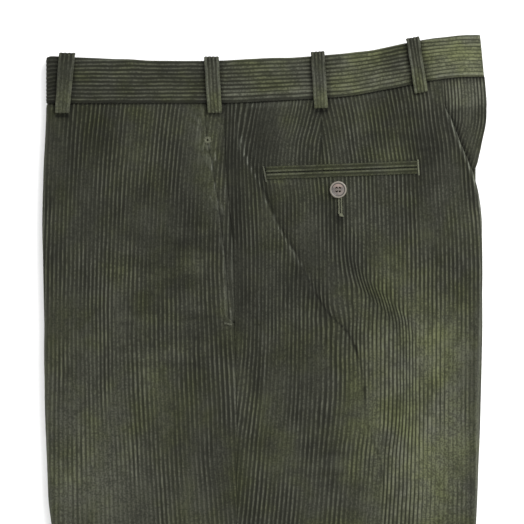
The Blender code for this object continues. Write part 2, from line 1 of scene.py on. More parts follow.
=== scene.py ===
"""The looks of wide-wale corduroy trousers, folded crease to crease and lying flat.

Sizes are in millimetres, and MM turns them into Blender's metres. x runs across from the front
creases to the centre back, down runs from the waistband's highest point to the hems, along -y,
and z is the height above the surface that the trousers lie on.
"""

import math

import bpy
import numpy as np
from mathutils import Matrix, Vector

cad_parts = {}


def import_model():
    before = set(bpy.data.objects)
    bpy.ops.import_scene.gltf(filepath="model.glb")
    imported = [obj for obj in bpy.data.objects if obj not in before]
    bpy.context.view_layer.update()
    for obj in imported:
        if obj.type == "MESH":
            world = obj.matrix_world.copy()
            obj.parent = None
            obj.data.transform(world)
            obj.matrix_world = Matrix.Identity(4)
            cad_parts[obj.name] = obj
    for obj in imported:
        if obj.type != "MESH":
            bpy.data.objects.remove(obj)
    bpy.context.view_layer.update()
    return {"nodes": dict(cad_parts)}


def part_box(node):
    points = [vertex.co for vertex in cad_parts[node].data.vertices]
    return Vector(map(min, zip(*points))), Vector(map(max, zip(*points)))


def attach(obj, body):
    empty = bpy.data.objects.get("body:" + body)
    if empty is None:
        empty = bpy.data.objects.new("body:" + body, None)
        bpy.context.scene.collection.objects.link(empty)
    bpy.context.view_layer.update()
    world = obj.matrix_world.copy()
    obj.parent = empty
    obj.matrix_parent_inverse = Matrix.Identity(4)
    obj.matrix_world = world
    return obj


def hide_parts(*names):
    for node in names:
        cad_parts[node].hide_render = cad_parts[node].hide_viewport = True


MM = 0.001
BEYOND = 1e4  # past any edge
LENGTH = 1080.0
TOP_ROW = 61.0  # the upper panels start this far down at the front crease
FAR_TOP_ROW = 62.0  # and the lower ones here
FACING_END, SEAT_END = 256.0, 136.0  # the last rows of the pocket's facing and the seat
CLOTH = 1.8  # wall of corduroy, to the crest of a wale
WALE = 3.75  # width of one wale and its furrow
RELIEF = 0.62  # depth of the furrow
CREST = 0.7  # below 1, a wale is broad and its furrow narrow
COLUMNS = 6  # columns of points to a wale
LIP = 8.0  # how far a panel runs on inside its crease
LEG = 7.4  # thickness of a folded leg at its creases
HEM_STEP = 2.0  # the upper leg stops this short of the lower one
HEM_ALLOWANCE = 38.0  # the hem is turned up this far inside and caught by hidden stitches
MEET = 0.1  # each panel stops this short of a seam
SETTLE = 6  # rounds of working out where a row meets a line
MOUTH_END = 262.0  # how far down the slant pocket has closed

BAND = 38.0  # height of the waistband
BAND_WALL = 3.5
BAND_PITCH = 3.45  # the waistband is stretched along its wales, which draws them closer
BAND_LEAN = 3.7  # how far the top of the centre back end leans towards the front
BAND_RISE = 3.4  # how much taller the waistband rolls at the front crease
BAND_TUCK = 75.0  # how far the waistband runs on inside the front crease
BAND_BACK_LIP = 8.0  # the lower waistband runs on this far inside the centre back
BAND_FRONT, BAND_END = -194.8, 197.0  # x of its front crease and of its end at the centre back
RIGHT_BAND_FRONT, RIGHT_BAND_BACK = -194.4, 197.3  # the same of the lower waistband
FRONT_LIP_Z = 7.7  # underside of the upper leg's lip at the front crease
SLANT_STEP = 0.7  # the pocket's facing lies this much lower than its mouth

LOOP_WALL = 2.2  # a belt loop is this thick
LOOP_WALES = 4  # and this many wales wide
LOOP_BELOW = 9.0  # how far a loop reaches below the waist seam
LOOP_ARCH = 1.0  # how far the middle of a loop stands off the waistband
LOOP_HOOK = 3.0  # how far its hidden top turns down
LOOP_BEND = 3.0  # how far from the waistband's edges a loop bends
LOOP_POKE = 1.3  # how far the bend at its top stands above the waistband
LOOP_STEPS = 44  # sections along a loop, besides one at each bend
GAP = 0.3  # between a piece and what it lies on

JET_HEIGHT = 5.6  # of one jet of the back pocket, across its opening
JET_WALL = 1.3
JET_FOLD = 1.3  # how far from the slit the crest of a jet's first wale runs
POCKET_SLIT = 0.5  # between the two jets
TUBE_SIDES = 6  # of a thread

CENTRE_X, CENTRE_DOWN = -1.8, 202.7  # what the camera looks straight down at
VIEW_ACROSS = 467.9  # how much of the garment the square frame takes in
VIEW_Z = 14.0  # at this height
LENS, SENSOR = 240.0, 36.0


def table(names, *rows):
    """A small table: its columns by name. Along a curve, the first is what the others depend on."""
    names = names.split()
    return {name: np.array([row[i] for row in rows], float) for i, name in enumerate(names)}


def rows_of(columns):
    """The rows of a table, one by one."""
    return zip(*columns.values())


# The waist seam, from the front crease to the centre back, and the waistband's height above it.
WAIST = table(
    "x seam band_z",
    (-195, 61.0, 15.4),
    (-120, 61.0, 15.6),
    (-37, 60.7, 15.6),
    (23, 58.0, 15.5),
    (68, 55.4, 15.3),
    (112, 48.2, 15.0),
    (146, 41.5, 14.6),
    (162, 39.0, 14.2),
    (178, 37.5, 12.4),
    (197, 37.2, 11.2),
)

# The creases and seams of the upper leg, and the back crease or centre back of the lower one.
OUTLINE = table(
    "down front_fold slant side_seam back_fold far_back",
    (36, -194.8, -53.6, -35.0, 160.7, 197.6),
    (61, -194.6, -53.6, -35.0, 161.2, 199.6),
    (74, -194.9, -52.6, -34.9, 167.2, 199.3),
    (95, -195.8, -50.9, -34.8, 175.2, 195.5),
    (113, -196.8, -46.8, -33.9, 182.8, 191.6),
    (126, -197.2, -45.2, -33.0, 187.8, 188.0),
    (147, -197.8, -41.6, -31.3, 192.9, 192.3),
    (170, -198.2, -38.6, -29.0, 194.9, 194.3),
    (213, -197.4, -33.5, -26.8, 195.3, 195.4),
    (252, -196.5, -31.5, -26.1, 194.4, 195.8),
    (258, -196.4, -26.4, -26.3, 194.2, 195.8),
    (285, -196.6, -25.4, -25.4, 193.4, 195.3),
    (328, -196.0, -24.1, -24.1, 192.2, 194.2),
    (370, -194.5, -24.1, -24.1, 191.9, 193.0),
    (413, -192.8, -24.1, -24.1, 190.8, 190.3),
    (436, -190.2, -24.1, -24.1, 189.6, 189.1),
    (520, -179.5, -23.5, -23.5, 176.5, 175.5),
    (600, -167.0, -23.0, -23.0, 160.5, 159.5),
    (700, -152.0, -22.0, -22.0, 145.5, 144.5),
    (850, -137.0, -21.0, -21.0, 125.0, 124.0),
    (1080, -124.0, -20.0, -20.0, 101.0, 100.0),
)

# Heights of the upper leg: its two creases, the underside of its back lip, and the crown between.
LEVELS = table(
    "down front_top back_top back_lip crown",
    (36, 14.3, 13.6, 9.8, 0.8),
    (61, 14.4, 13.7, 9.8, 1.2),
    (90, 14.8, 13.8, 9.8, 2.4),
    (128, 15.1, 14.1, 9.8, 3.8),
    (162, 15.1, 15.1, 7.7, 4.5),
    (300, 15.1, 15.1, 7.7, 4.6),
    (436, 15.1, 15.1, 7.7, 3.6),
    (700, 15.1, 15.1, 7.7, 1.5),
    (1000, 15.1, 15.1, 7.7, 0.2),
    (1080, 15.1, 15.1, 7.7, 0.0),
)

# Where the wales run: x of every tenth wale. Wale 38 of the back meets the dart from both sides.
FRONT_WALES = table(
    "down w0 w10 w20 w30 w40",
    (61, -189.3, -150.0, -112.5, -75.0, -37.5),
    (98, -191.1, -153.6, -116.1, -79.5, -43.0),
    (152, -192.9, -157.1, -119.6, -83.5, -46.4),
    (205, -194.6, -158.0, -122.3, -85.3, -47.6),
    (259, -195.5, -158.5, -123.6, -84.6, -45.2),
    (312, -196.4, -158.0, -122.3, -83.5, -42.9),
    (357, -197.3, -157.1, -119.6, -81.6, -41.1),
    (436, -198.2, -155.4, -115.2, -76.8, -35.7),
    (700, -159.8, -117.0, -78.0, -40.5, -3.0),
    (1080, -131.8, -89.0, -50.0, -12.5, 25.0),
)
BACK_WALES = table(
    "down w0 w10 w20 w30 w38_right w38_left w50 w55 w60",
    (36, 176.4, 140.6, 103.0, 66.0, 38.0, 66.0, 20.5, -2.0, -20.5),
    (61, 180.4, 144.6, 108.0, 71.4, 41.1, 61.6, 17.0, -4.5, -21.5),
    (80, 183.0, 146.6, 111.2, 75.0, 45.5, 56.3, 12.9, -6.6, -22.8),
    (98, 185.7, 149.1, 113.4, 77.7, 49.1, 51.8, 8.9, -8.5, -24.0),
    (114, 186.6, 150.9, 115.6, 80.0, 50.9, 50.9, 7.8, -8.9, -24.5),
    (152, 189.3, 153.2, 117.0, 81.3, 53.4, 53.4, 12.0, -6.3, -23.5),
    (205, 192.5, 155.4, 118.4, 81.8, 54.2, 54.2, 12.0, -4.2, -21.8),
    (259, 192.9, 155.6, 118.8, 82.2, 54.8, 54.8, 11.8, -4.6, -21.8),
    (312, 192.9, 155.4, 119.0, 83.0, 54.4, 54.4, 10.2, -7.4, -26.0),
    (357, 192.9, 155.2, 118.6, 83.2, 52.4, 52.4, 7.1, -12.2, -31.5),
    (436, 194.6, 153.6, 116.1, 80.4, 47.3, 47.3, 0.0, -19.6, -39.3),
    (700, 151.7, 110.7, 73.2, 37.5, 7.5, 7.5, -37.5, -56.3, -75.0),
    (1080, 107.2, 66.2, 28.7, -7.0, -37.0, -37.0, -82.0, -100.7, -119.5),
)
FRONT_GUIDES = {0: "w0", 10: "w10", 20: "w20", 30: "w30", 40: "w40"}
BACK_RIGHT_GUIDES = {0: "w0", 10: "w10", 20: "w20", 30: "w30", 38: "w38_right"}
BACK_LEFT_GUIDES = {38: "w38_left", 50: "w50", 55: "w55", 60: "w60"}
FRONT_RANGE, BACK_RANGE = (-6, 46), (-7, 65)  # wales of a panel, past its edges on both sides
DART_X, DART_TIP, DART_WALE = 50.9, 114.0, 38
SHARPEST = -0.35  # how sharp the wales may be: below 0 their furrows are deeper than RELIEF
SEAT_FOLD_WIDE, DRAG_CREASE_WIDE = 22.0, 6.0  # the wales are drawn together over this width
FAN = 5.0  # how far the back's wales fan out at the waist, between the side seam and the dart

# Creases of the upper leg: x and height along each, and how wide it is on its two sides.
DRAG_CREASE = table(
    "down x height shift",
    (78, -24.5, 0.0, 0.0),
    (94, -21.4, -0.7, 0.0),
    (112, -15.2, -1.2, 0.2),
    (138, -1.8, -1.5, 0.4),
    (163, 8.9, -1.6, 0.7),
    (200, 30.4, -1.7, 1.2),
    (249, 58.9, -1.9, 1.2),
    (263, 73.2, -1.8, 0.8),
    (278, 81.4, -1.5, 0.7),
    (292, 85.6, -1.2, 0.6),
    (306, 88.8, -0.9, 0.6),
    (341, 91.1, -0.8, 0.8),
    (377, 102.7, -0.5, 0.8),
    (410, 108.0, 0.0, 0.4),
    (460, 112.0, 0.0, 0.0),
)
DRAG_BANK = table(
    "down x height",
    (94, -26.0, 0.0),
    (125, -14.0, 1.2),
    (163, 1.0, 1.9),
    (200, 22.0, 1.7),
    (249, 50.0, 1.2),
    (300, 77.0, 0.6),
    (330, 84.0, 0.0),
)
POCKET_RIDGE = table(
    "down x height",
    (96, 134.0, 0.0),
    (112, 137.5, 0.6),
    (133, 143.8, 1.0),
    (152, 148.2, 1.0),
    (165, 154.5, 0.9),
    (201, 157.1, 0.5),
    (240, 158.0, 0.0),
)
POCKET_VALLEY = table(
    "down x height",
    (84, 143.0, 0.0),
    (104, 150.0, -0.9),
    (130, 160.0, -1.2),
    (160, 168.0, -0.9),
    (196, 171.0, 0.0),
)
THIGH_RIDGE = table(
    "down x height",
    (215, -2.0, 0.0),
    (237, -1.8, 0.8),
    (271, -1.8, 1.1),
    (314, 1.8, 1.0),
    (362, -3.6, 0.9),
    (398, -8.0, 0.5),
    (440, -12.0, 0.0),
)
SEAT_FOLD = table(
    "down x height shift",
    (146, 60.0, 0.0, 0.0),
    (163, 63.5, 0.6, 0.5),
    (180, 69.5, 1.2, 1.5),
    (193, 75.0, 2.1, 3.2),
    (206, 83.0, 2.7, 5.0),
    (221, 93.5, 2.8, 6.2),
    (235, 104.5, 2.7, 6.6),
    (247, 113.0, 2.2, 6.2),
    (258, 120.0, 1.4, 5.7),
    (275, 123.5, 0.6, 5.3),
    (320, 125.0, 0.6, 5.0),
    (345, 125.0, 0.5, 4.2),
    (375, 124.0, 0.4, 1.8),
    (420, 124.0, 0.2, 0.5),
    (470, 124.0, 0.0, 0.0),
)
FRONT_FOLD_LINE = table(
    "down x height",
    (80, -120.0, 0.0),
    (150, -126.0, 0.5),
    (240, -118.0, 0.4),
    (330, -102.0, 0.6),
    (430, -96.0, 0.0),
)
POCKET_BAG_LINE = table(
    "down x height",
    (110, -92.0, 0.0),
    (150, -84.0, -0.6),
    (200, -80.0, -0.6),
    (250, -74.0, 0.0),
)
KNEE_CREASE_FRONT = table(
    "down x height",
    (520, -140.0, 0.0),
    (570, -112.0, -0.9),
    (610, -84.0, -0.7),
    (640, -60.0, 0.0),
)
KNEE_CREASE_BACK = table(
    "down x height",
    (500, 130.0, 0.0),
    (548, 96.0, -0.8),
    (585, 62.0, -1.0),
    (625, 26.0, 0.0),
)
SHIN_RIDGE = table(
    "down x height",
    (640, -70.0, 0.0),
    (730, -62.0, 0.6),
    (850, -66.0, 0.5),
    (960, -58.0, 0.0),
)
CALF_RIDGE = table(
    "down x height",
    (600, 74.0, 0.0),
    (700, 66.0, 0.7),
    (830, 52.0, 0.6),
    (980, 44.0, 0.0),
)
CREASES = (
    (DRAG_CREASE, 2.2, 5.0),
    (DRAG_BANK, 9.0, 5.0),
    (POCKET_RIDGE, 7.0, 9.0),
    (POCKET_VALLEY, 6.0, 6.0),
    (THIGH_RIDGE, 7.0, 9.0),
    (SEAT_FOLD, 7.0, 16.0),
    (FRONT_FOLD_LINE, 14.0, 12.0),
    (POCKET_BAG_LINE, 8.0, 8.0),
    (KNEE_CREASE_FRONT, 9.0, 12.0),
    (KNEE_CREASE_BACK, 10.0, 12.0),
    (SHIN_RIDGE, 14.0, 18.0),
    (CALF_RIDGE, 16.0, 14.0),
)

# Soft patches where the nap is lighter, darker or more olive, partly its own tone and partly painted
# sheen and light, by middle, half width and height.
NAP_AND_SHEEN_PATCHES = table(
    "x down wide tall tone olive",
    (-48, 95, 13, 42, 0.12, 0.3),
    (-172, 92, 44, 34, -0.23, 0.0),
    (-95, 150, 44, 44, -0.12, 0.0),
    (-160, 392, 46, 66, 0.50, 0.1),
    (-158, 208, 32, 30, 0.10, 0.0),
    (-108, 318, 38, 64, 0.20, 0.2),
    (-34.5, 243, 6, 15, 0.34, 0.6),
    (12, 131, 10, 2.2, 0.35, 0.4),
    (-4, 112, 24, 50, -0.36, -0.2),
    (0, 250, 24, 22, 0.12, 0.0),
    (46, 200, 30, 30, -0.10, 0.0),
    (112, 215, 16, 40, 0.20, 0.1),
    (108, 108, 34, 9, 0.20, 0.3),
    (148, 104, 24, 34, -0.32, -0.3),
    (96, 330, 30, 120, 0.42, 0.2),
    (150, 270, 36, 40, 0.62, 0.3),
    (154, 395, 40, 92, 0.92, 0.3),
)

# Soft creases of the lower leg: both ends of each, how far it lifts the cloth and half its width.
FAR_CREASES = table(
    "x down x_end down_end deep wide",
    (112.0, 78.0, 164.0, 246.0, 0.7, 8.0),
    (24.0, 88.0, 58.0, 186.0, 0.5, 7.0),
    (-148.0, 140.0, -121.0, 338.0, 0.6, 11.0),
    (66.0, 196.0, 31.0, 428.0, 0.8, 13.0),
    (128.0, 312.0, 98.0, 524.0, 0.5, 10.0),
    (-58.0, 402.0, -86.0, 655.0, 0.7, 12.0),
    (74.0, 571.0, 43.0, 792.0, 0.5, 9.0),
    (-92.0, 716.0, -70.0, 968.0, 0.4, 11.0),
)

# Rubbed streaks, where the pile is worn to a light line: both their ends and their strength.
STREAKS = table(
    "x down x_end down_end strength",
    (-27.2, 71.0, -26.8, 75.0, 0.5),
    (-23.8, 77.3, -25.2, 90.2, 1.0),
    (-22.0, 92.6, -22.1, 102.0, 1.0),
    (-20.6, 91.4, -18.0, 99.5, 0.8),
    (-18.0, 99.5, -17.9, 108.2, 1.0),
    (-15.2, 108.6, -14.4, 115.6, 1.0),
    (-11.2, 117.6, -10.9, 122.6, 0.8),
    (-7.7, 124.2, -7.2, 128.0, 0.7),
    (-4.1, 131.2, -3.4, 134.2, 0.7),
    (-0.6, 135.0, -0.2, 139.6, 0.6),
    (9.3, 159.6, 10.1, 164.0, 0.8),
    (-8.0, 101.8, -9.0, 108.4, 0.4),
    (-48.6, 92.0, -49.2, 101.5, 0.5),
    (-46.3, 112.0, -46.6, 122.0, 0.9),
    (-43.9, 104.8, -43.0, 112.2, 0.6),
    (-43.7, 132.0, -44.2, 139.6, 0.8),
    (-41.2, 147.6, -41.0, 155.4, 0.9),
    (-37.9, 150.6, -37.0, 159.4, 0.7),
    (-47.8, 143.4, -47.8, 146.4, 0.6),
    (-5.4, 229.0, -3.5, 256.0, 0.2),
    (-0.9, 263.0, -0.4, 283.0, 0.25),
    (0.4, 287.0, 0.4, 330.0, 0.25),
    (-38.3, 172.0, -37.2, 188.0, 0.3),
    (-35.2, 193.0, -33.7, 214.0, 0.3),
    (-33.8, 218.0, -35.1, 249.0, 0.2),
    (-28.4, 180.0, -28.2, 219.0, 0.25),
    (-30.2, 244.0, -29.0, 256.0, 0.4),
)

FINE_TO = 440.0  # the rows of points are close together down to here
FINE_STEP, COARSE_STEP = 2.5, 8.0
INSIDE_ROWS, INSIDE_COLUMNS = 6, 6  # the plain inside has every so many rows and columns
ROWS_LEVEL_AT = 205.0
SEAT_TUCK = 15.0
SEAT_Z = LEG + GAP

# Each belt loop: where its middle is at its top and its end, its width there, and its wear.
LOOPS = (
    ("front_belt_loop", -176.0, -180.2, 14.6, 12.6, 0.75),
    ("side_belt_loop", -46.8, -43.9, 13.4, 12.4, 0.45),
    ("pocket_belt_loop", 48.1, 50.9, 12.4, 12.2, 0.65),
    ("back_belt_loop", 133.2, 140.3, 11.6, 11.5, 0.35),
)
POCKET = table("x down", (2.0, 123.4), (68.0, 120.9), (136.6, 118.2))
BUTTON_HOLES_OUT, BUTTON_HOLE = 2.0, 1.05
SLIT_X, SLIT_TOP, SLIT_END = 67.6, 141.0, 160.0  # the buttonhole

# Boxes with soft edges: the line that each is measured from, its left, its right and how soft they
# are, its top, its bottom and how soft they are, and how much it adds. First where the pile has
# felted, then where painted light and shade make it ripple across, and last the waistband's tone
# and painted light, lighter towards the centre back where it tilts towards the lamp and with painted
# shade along its seam, by the height above its seam.
FELTED = (
    ("across", 106, 134, 12, 270, BEYOND, 40, -1.08),
    ("across", -32, -6, 6, 60, 190, 20, -0.48),
    ("across", 20, 178, 20, 62, 112, 14, -0.24),
    ("across", 40, 104, 16, 277, BEYOND, 30, 0.42),
    ("across", 142, BEYOND, 20, 270, BEYOND, 80, 0.45),
    ("across", 138, 178, 16, 76, 190, 30, 0.5),
    ("across", 134, BEYOND, 16, 355, BEYOND, 50, 0.35),
    ("across", -BEYOND, BEYOND, 1, 330, BEYOND, 60, 0.14),
    ("across", -BEYOND, -125, 30, 330, BEYOND, 60, 0.22),
    ("across", 40, BEYOND, 40, -BEYOND, BEYOND, 1, -0.25),
    ("fold", -44, -16, 12, 165, 262, 20, 0.6),
    ("fold", 14, 40, 12, 165, 262, 20, 0.36),
    ("back", 4, 30, 6, 84, 140, 14, 0.5),
    ("back", -8.5, BEYOND, 5, 230, BEYOND, 30, 0.6),
)
RIPPLED = (
    ("across", -130, -42, 30, 165, 300, 50, 1.0),
    ("across", 16, 92, 30, 325, 410, 40, 0.9),
    ("across", 70, 168, 30, 70, 112, 16, 0.7),
)
BAND_TONE_AND_LIGHT = (
    ("across", -40, BEYOND, 40, -BEYOND, BEYOND, 1, 0.29),
    ("across", 65, BEYOND, 30, -BEYOND, BEYOND, 1, 0.34),
    ("across", 164, BEYOND, 56, -BEYOND, BEYOND, 1, 0.36),
    ("across", -BEYOND, -182, 12, -BEYOND, BEYOND, 1, -0.30),
    ("across", 106, 126, 12, 10, BEYOND, 20, -0.4),
    ("across", 134, 176, 16, -BEYOND, 8, 16, -0.22),
    ("across", -BEYOND, 130, 40, -BEYOND, 2.75, 5.5, -0.18),
)

# Marks along the creases and seams: painted shade in and beside the drag crease, the seat fold, the
# buttonhole and the back crease, two strips of darker tone, and worn lines, those along the creases
# with a painted highlight. For each: what it changes, the line that it follows, how far right of it,
# its half width and strength, where down it starts and ends and how softly, and what broken needs
# where it shows in dashes.
MARKS = (
    ("wear", "jagged", -0.6, 0.9, 1.1, 138, 226, 20, (3.4, 23, 0.1, 0.1)),
    ("shade", "drag", 6.0, 6.0, 0.3, 136, 164, 18, None),
    ("shade", "drag", 1.6, 1.4, 0.55, 132, 196, 14, None),
    ("shade", "drag", -6.0, 5.0, 0.42, 196, 258, 30, None),
    ("shade", "drag", -0.8, 1.4, 0.8, 208, 284, 24, (9, 35, 0.4)),
    ("shade", "drag", -0.2, 1.6, 0.95, 264, 400, 20, (9, 37, 0.35)),
    ("wear", "drag", 2.6, 1.0, 0.25, 264, 400, 20, (9, 37, 0.35)),
    ("shade", "fold", -2.0, 8.0, 0.24, 150, 262, 20, None),
    ("shade", "across", 67.8, 3.6, 0.55, 143, 168, 8, None),
    ("tone", "across", -6.0, 5.0, -0.12, 170, 330, 40, None),
    ("tone", "seam", 6.0, 7.0, -0.24, 50, 250, 60, None),
    ("wear", "seam", -2.2, 1.1, 0.4, 130, 330, 40, (16, 27)),
    ("wear", "frayed", -1.2, 1.0, 0.5, 160, 250, 20, (6, 28, 0.0)),
    ("wear", "back", -1.4, 1.1, 0.7, 70, 160, 20, None),
    ("shade", "back", -5.0, 2.2, 0.3, 66, 150, 20, None),
    ("shade", "back", -6.5, 3.5, 0.25, 235, BEYOND, 40, None),
)


# ---- curves and noise ----


def smooth(rows, name, at):
    """A column of a table at some place, along a curve that keeps between neighbouring rows."""
    x, y = list(rows.values())[0], rows[name]
    at = np.clip(at, x[0], x[-1])
    width = np.diff(x)
    slope = np.diff(y) / width
    product = slope[:-1] * slope[1:]
    total = np.where(product > 0, slope[:-1] + slope[1:], 1.0)
    tangent = np.concatenate(
        [slope[:1], np.where(product > 0, 2 * product / total, 0.0), slope[-1:]]
    )
    i = np.clip(np.searchsorted(x, at) - 1, 0, len(width) - 1)
    t = (at - x[i]) / width[i]
    return (
        (1 + 2 * t) * (1 - t) ** 2 * y[i]
        + t * (1 - t) ** 2 * width[i] * tangent[i]
        + t * t * (3 - 2 * t) * y[i + 1]
        + t * t * (t - 1) * width[i] * tangent[i + 1]
    )


def ease(t):
    """From 0 to 1 with a soft start and end."""
    t = np.clip(t, 0.0, 1.0)
    return t * t * (3 - 2 * t)


def bell(off, width):
    """1 in the middle, falling off to both sides over a width."""
    return np.exp(-((off / width) ** 2))


def between(value, low, high, soft):
    """1 from low to high, and 0 away from them."""
    return ease((value - low) / soft + 0.5) * ease((high - value) / soft + 0.5)


def soft_boxes(rows, lines, down):
    """What some boxes with soft edges add up to."""
    total = 0.0
    for beside, left, right, soft, first, last, softly, amount in rows:
        inside = between(lines[beside], left, right, soft) * between(down, first, last, softly)
        total = total + amount * inside
    return total


def noise(x, y, across, along, seed):
    """Smooth noise from -1 to 1 that changes over these distances."""
    size = 64
    lattice = np.random.default_rng(seed).uniform(-1, 1, (size, size))
    a, b = np.asarray(x) / across + 20, np.asarray(y) / along + 4
    i, j = np.floor(a).astype(int), np.floor(b).astype(int)
    s, t = ease(a - i), ease(b - j)
    i, j = i % size, j % size
    k, m = (i + 1) % size, (j + 1) % size
    near = lattice[i, j] * (1 - s) + lattice[k, j] * s
    far = lattice[i, m] * (1 - s) + lattice[k, m] * s
    return near * (1 - t) + far * t


# ---- the shape of the garment ----


def waist_seam(x):
    return smooth(WAIST, "seam", x)


def edge_line(name, down):
    return smooth(OUTLINE, name, down)


def lines_at(x, down):
    """x itself, and how far right of the near leg's creases and seams a place is."""
    return {
        "across": x,
        "drag": x - smooth(DRAG_CREASE, "x", down),
        "fold": x - smooth(SEAT_FOLD, "x", down),
        "seam": x - edge_line("side_seam", down),
        "slant": x - edge_line("slant", down),
        "back": x - edge_line("back_fold", down),
    }


def row_down(x, row):
    """How far down a row lies at x: near the waist the rows follow the waist seam."""
    rise = waist_seam(x) - WAIST["seam"][0]
    return row + rise * (1 - ease((row - TOP_ROW) / (ROWS_LEVEL_AT - TOP_ROW)))


def crown(x, down):
    """Height of the upper leg without its creases, to the crest of the wales."""
    front, back = edge_line("front_fold", down), edge_line("back_fold", down)
    share = np.clip((x - front) / (back - front), 0.0, 1.0)
    low, high = smooth(LEVELS, "front_top", down), smooth(LEVELS, "back_top", down)
    bulge = smooth(LEVELS, "crown", down) * (1 - (2 * share - 1) ** 4)
    return low + (high - low) * ease(share) + bulge


def crease_height(x, down):
    """What the creases and soft folds add to the upper leg's height."""
    height = 0.0
    for crease, left, right in CREASES:
        inside = (down > crease["down"][0]) & (down < crease["down"][-1])
        off = x - smooth(crease, "x", down)
        shape = np.where(off < 0, bell(off, left), bell(off, right))
        height = height + np.where(inside, smooth(crease, "height", down), 0.0) * shape
    return height


def seam_height(x, down):
    """The groove and the low banks of the side seam, the dart and the hem's hidden stitches."""
    off = x - edge_line("side_seam", down)
    pucker = 1 + 0.5 * noise(0, down, 1, 5.0, 11)
    pressed = 0.4 + 0.6 * ease((330 - down) / 80)
    height = pressed * (-0.8 * bell(off, 1.4) + 0.28 * bell(np.abs(off) - 5.5, 3.0) * pucker)
    slant = x - edge_line("slant", down)
    open_here = ease((MOUTH_END - down) / 8)
    height = height + 0.2 * bell(slant + 3.0, 3.0) * open_here
    dart = ease((DART_TIP - down) / 20)
    height = height - 0.75 * bell(x - DART_X, 1.2) * dart + 0.3 * bell(x - DART_X, 6.0) * dart
    hem = LENGTH - HEM_ALLOWANCE - down
    return height - 0.3 * bell(hem, 1.4) * (0.7 + 0.3 * noise(x, 0, 4.0, 1, 12))


def undulation(x, down):
    """The small unevenness of cloth that lies on other cloth."""
    wide = noise(x, down, 42, 70, 1) * 0.45
    narrow = noise(x, down, 17, 38, 2) * 0.22
    near_waist = ease((130 - down) / 60) * noise(x, down, 9, 26, 3) * 0.25
    return wide + narrow + near_waist


def top(x, down):
    """Height of the upper leg with everything that shapes it."""
    front, back = edge_line("front_fold", down), edge_line("back_fold", down)
    inside = ease((x - front - 3) / 12) * ease((back - 3 - x) / 12)
    return crown(x, down) + seam_height(x, down) + inside * (
        crease_height(x, down) + undulation(x, down)
    )


def fold_round(side, down):
    """A crease of the upper leg: its x, the height of its lip's underside and its radius."""
    edge = edge_line("front_fold" if side < 0 else "back_fold", down)
    low = FRONT_LIP_Z if side < 0 else smooth(LEVELS, "back_lip", down)
    radius = (crown(edge, down) - low) / 2
    return edge, low, (crown(edge - side * radius, down) - low) / 2


def wrapped(side, x, down, depth):
    """A point of an upper panel: over the top, round its crease and along the lip inside."""
    edge, low, radius = fold_round(side, down)
    past = side * (x - edge) + radius
    turned = np.clip(past, 0.0, math.pi * radius + LIP)
    angle = np.minimum(turned / radius, math.pi)
    run = np.maximum(turned - math.pi * radius, 0.0)
    round_x = edge - side * (radius + run) + side * (radius - depth) * np.sin(angle)
    round_z = low + radius + (radius - depth) * np.cos(angle)
    return np.where(past <= 0, x, round_x), np.where(past <= 0, top(x, down) - depth, round_z)


def lip_end(side, down):
    """Where the grid of an upper panel ends: past its crease by the turn and the lip."""
    edge, _, radius = fold_round(side, down)
    return edge + side * (math.pi * radius + LIP - radius)


# ---- wales ----


def felted(x, down):
    """How far the pile has felted: at 1 its wales hardly show."""
    patchy = noise(x, down, 13, 42, 61) + 0.6 * noise(x, down, 6, 26, 62)
    lines = lines_at(x, down)
    mouth = between(lines["slant"], -15, 3, 8) * between(down, 62, 168, 26)
    mouth = mouth * (1 - 0.4 * ease((down - 112) / 20))
    on_fold = bell(lines["fold"] + 3, 13.0) * between(down, 150, 268, 20)
    felt = 0.42 + 0.65 * patchy + 0.8 * mouth - 1.44 * on_fold + soft_boxes(FELTED, lines, down)
    return np.clip(felt, SHARPEST, 1.0)


def furrow(u):
    """0 on the crests, which are at whole numbers of wales, and 1 in the furrows between them."""
    return 1 - np.abs(np.cos(math.pi * u)) ** CREST


def relief(u, x, down):
    """Depth under the crests: felted pile is flatter."""
    return RELIEF * (1.0 - 0.55 * felted(x, down)) * furrow(u)


def wale_x(guides, rows, numbers, down):
    """x of wales: between two guides, or past the last of them at their spacing."""
    known = np.array(list(guides))
    x = np.empty(down.shape)
    for c, number in enumerate(numbers):
        i = int(np.clip(np.searchsorted(known, number) - 1, 0, len(known) - 2))
        share = (number - known[i]) / (known[i + 1] - known[i])
        near = smooth(rows, guides[known[i]], down[:, c])
        far = smooth(rows, guides[known[i + 1]], down[:, c])
        x[:, c] = near * (1 - share) + far * share
    return x


def settled(rows, x_at):
    """The x on each row of something whose x is known by how far down it is."""
    down = rows.copy()
    for _ in range(SETTLE):
        x = x_at(down)
        down = row_down(x, rows)
    return x


def settled_edge(rows, name):
    return settled(rows, lambda down: edge_line(name, down))


def cut(x, u, limit, side):
    """Ends every wale that runs past a limit there. side is +1 to keep what is below it."""
    for r in range(len(x)):
        order = np.argsort(x[r])
        at_limit = np.interp(limit[r], x[r][order], u[r][order])
        over = side * (x[r] - limit[r]) > 0
        x[r][over] = limit[r]
        u[r][over] = at_limit


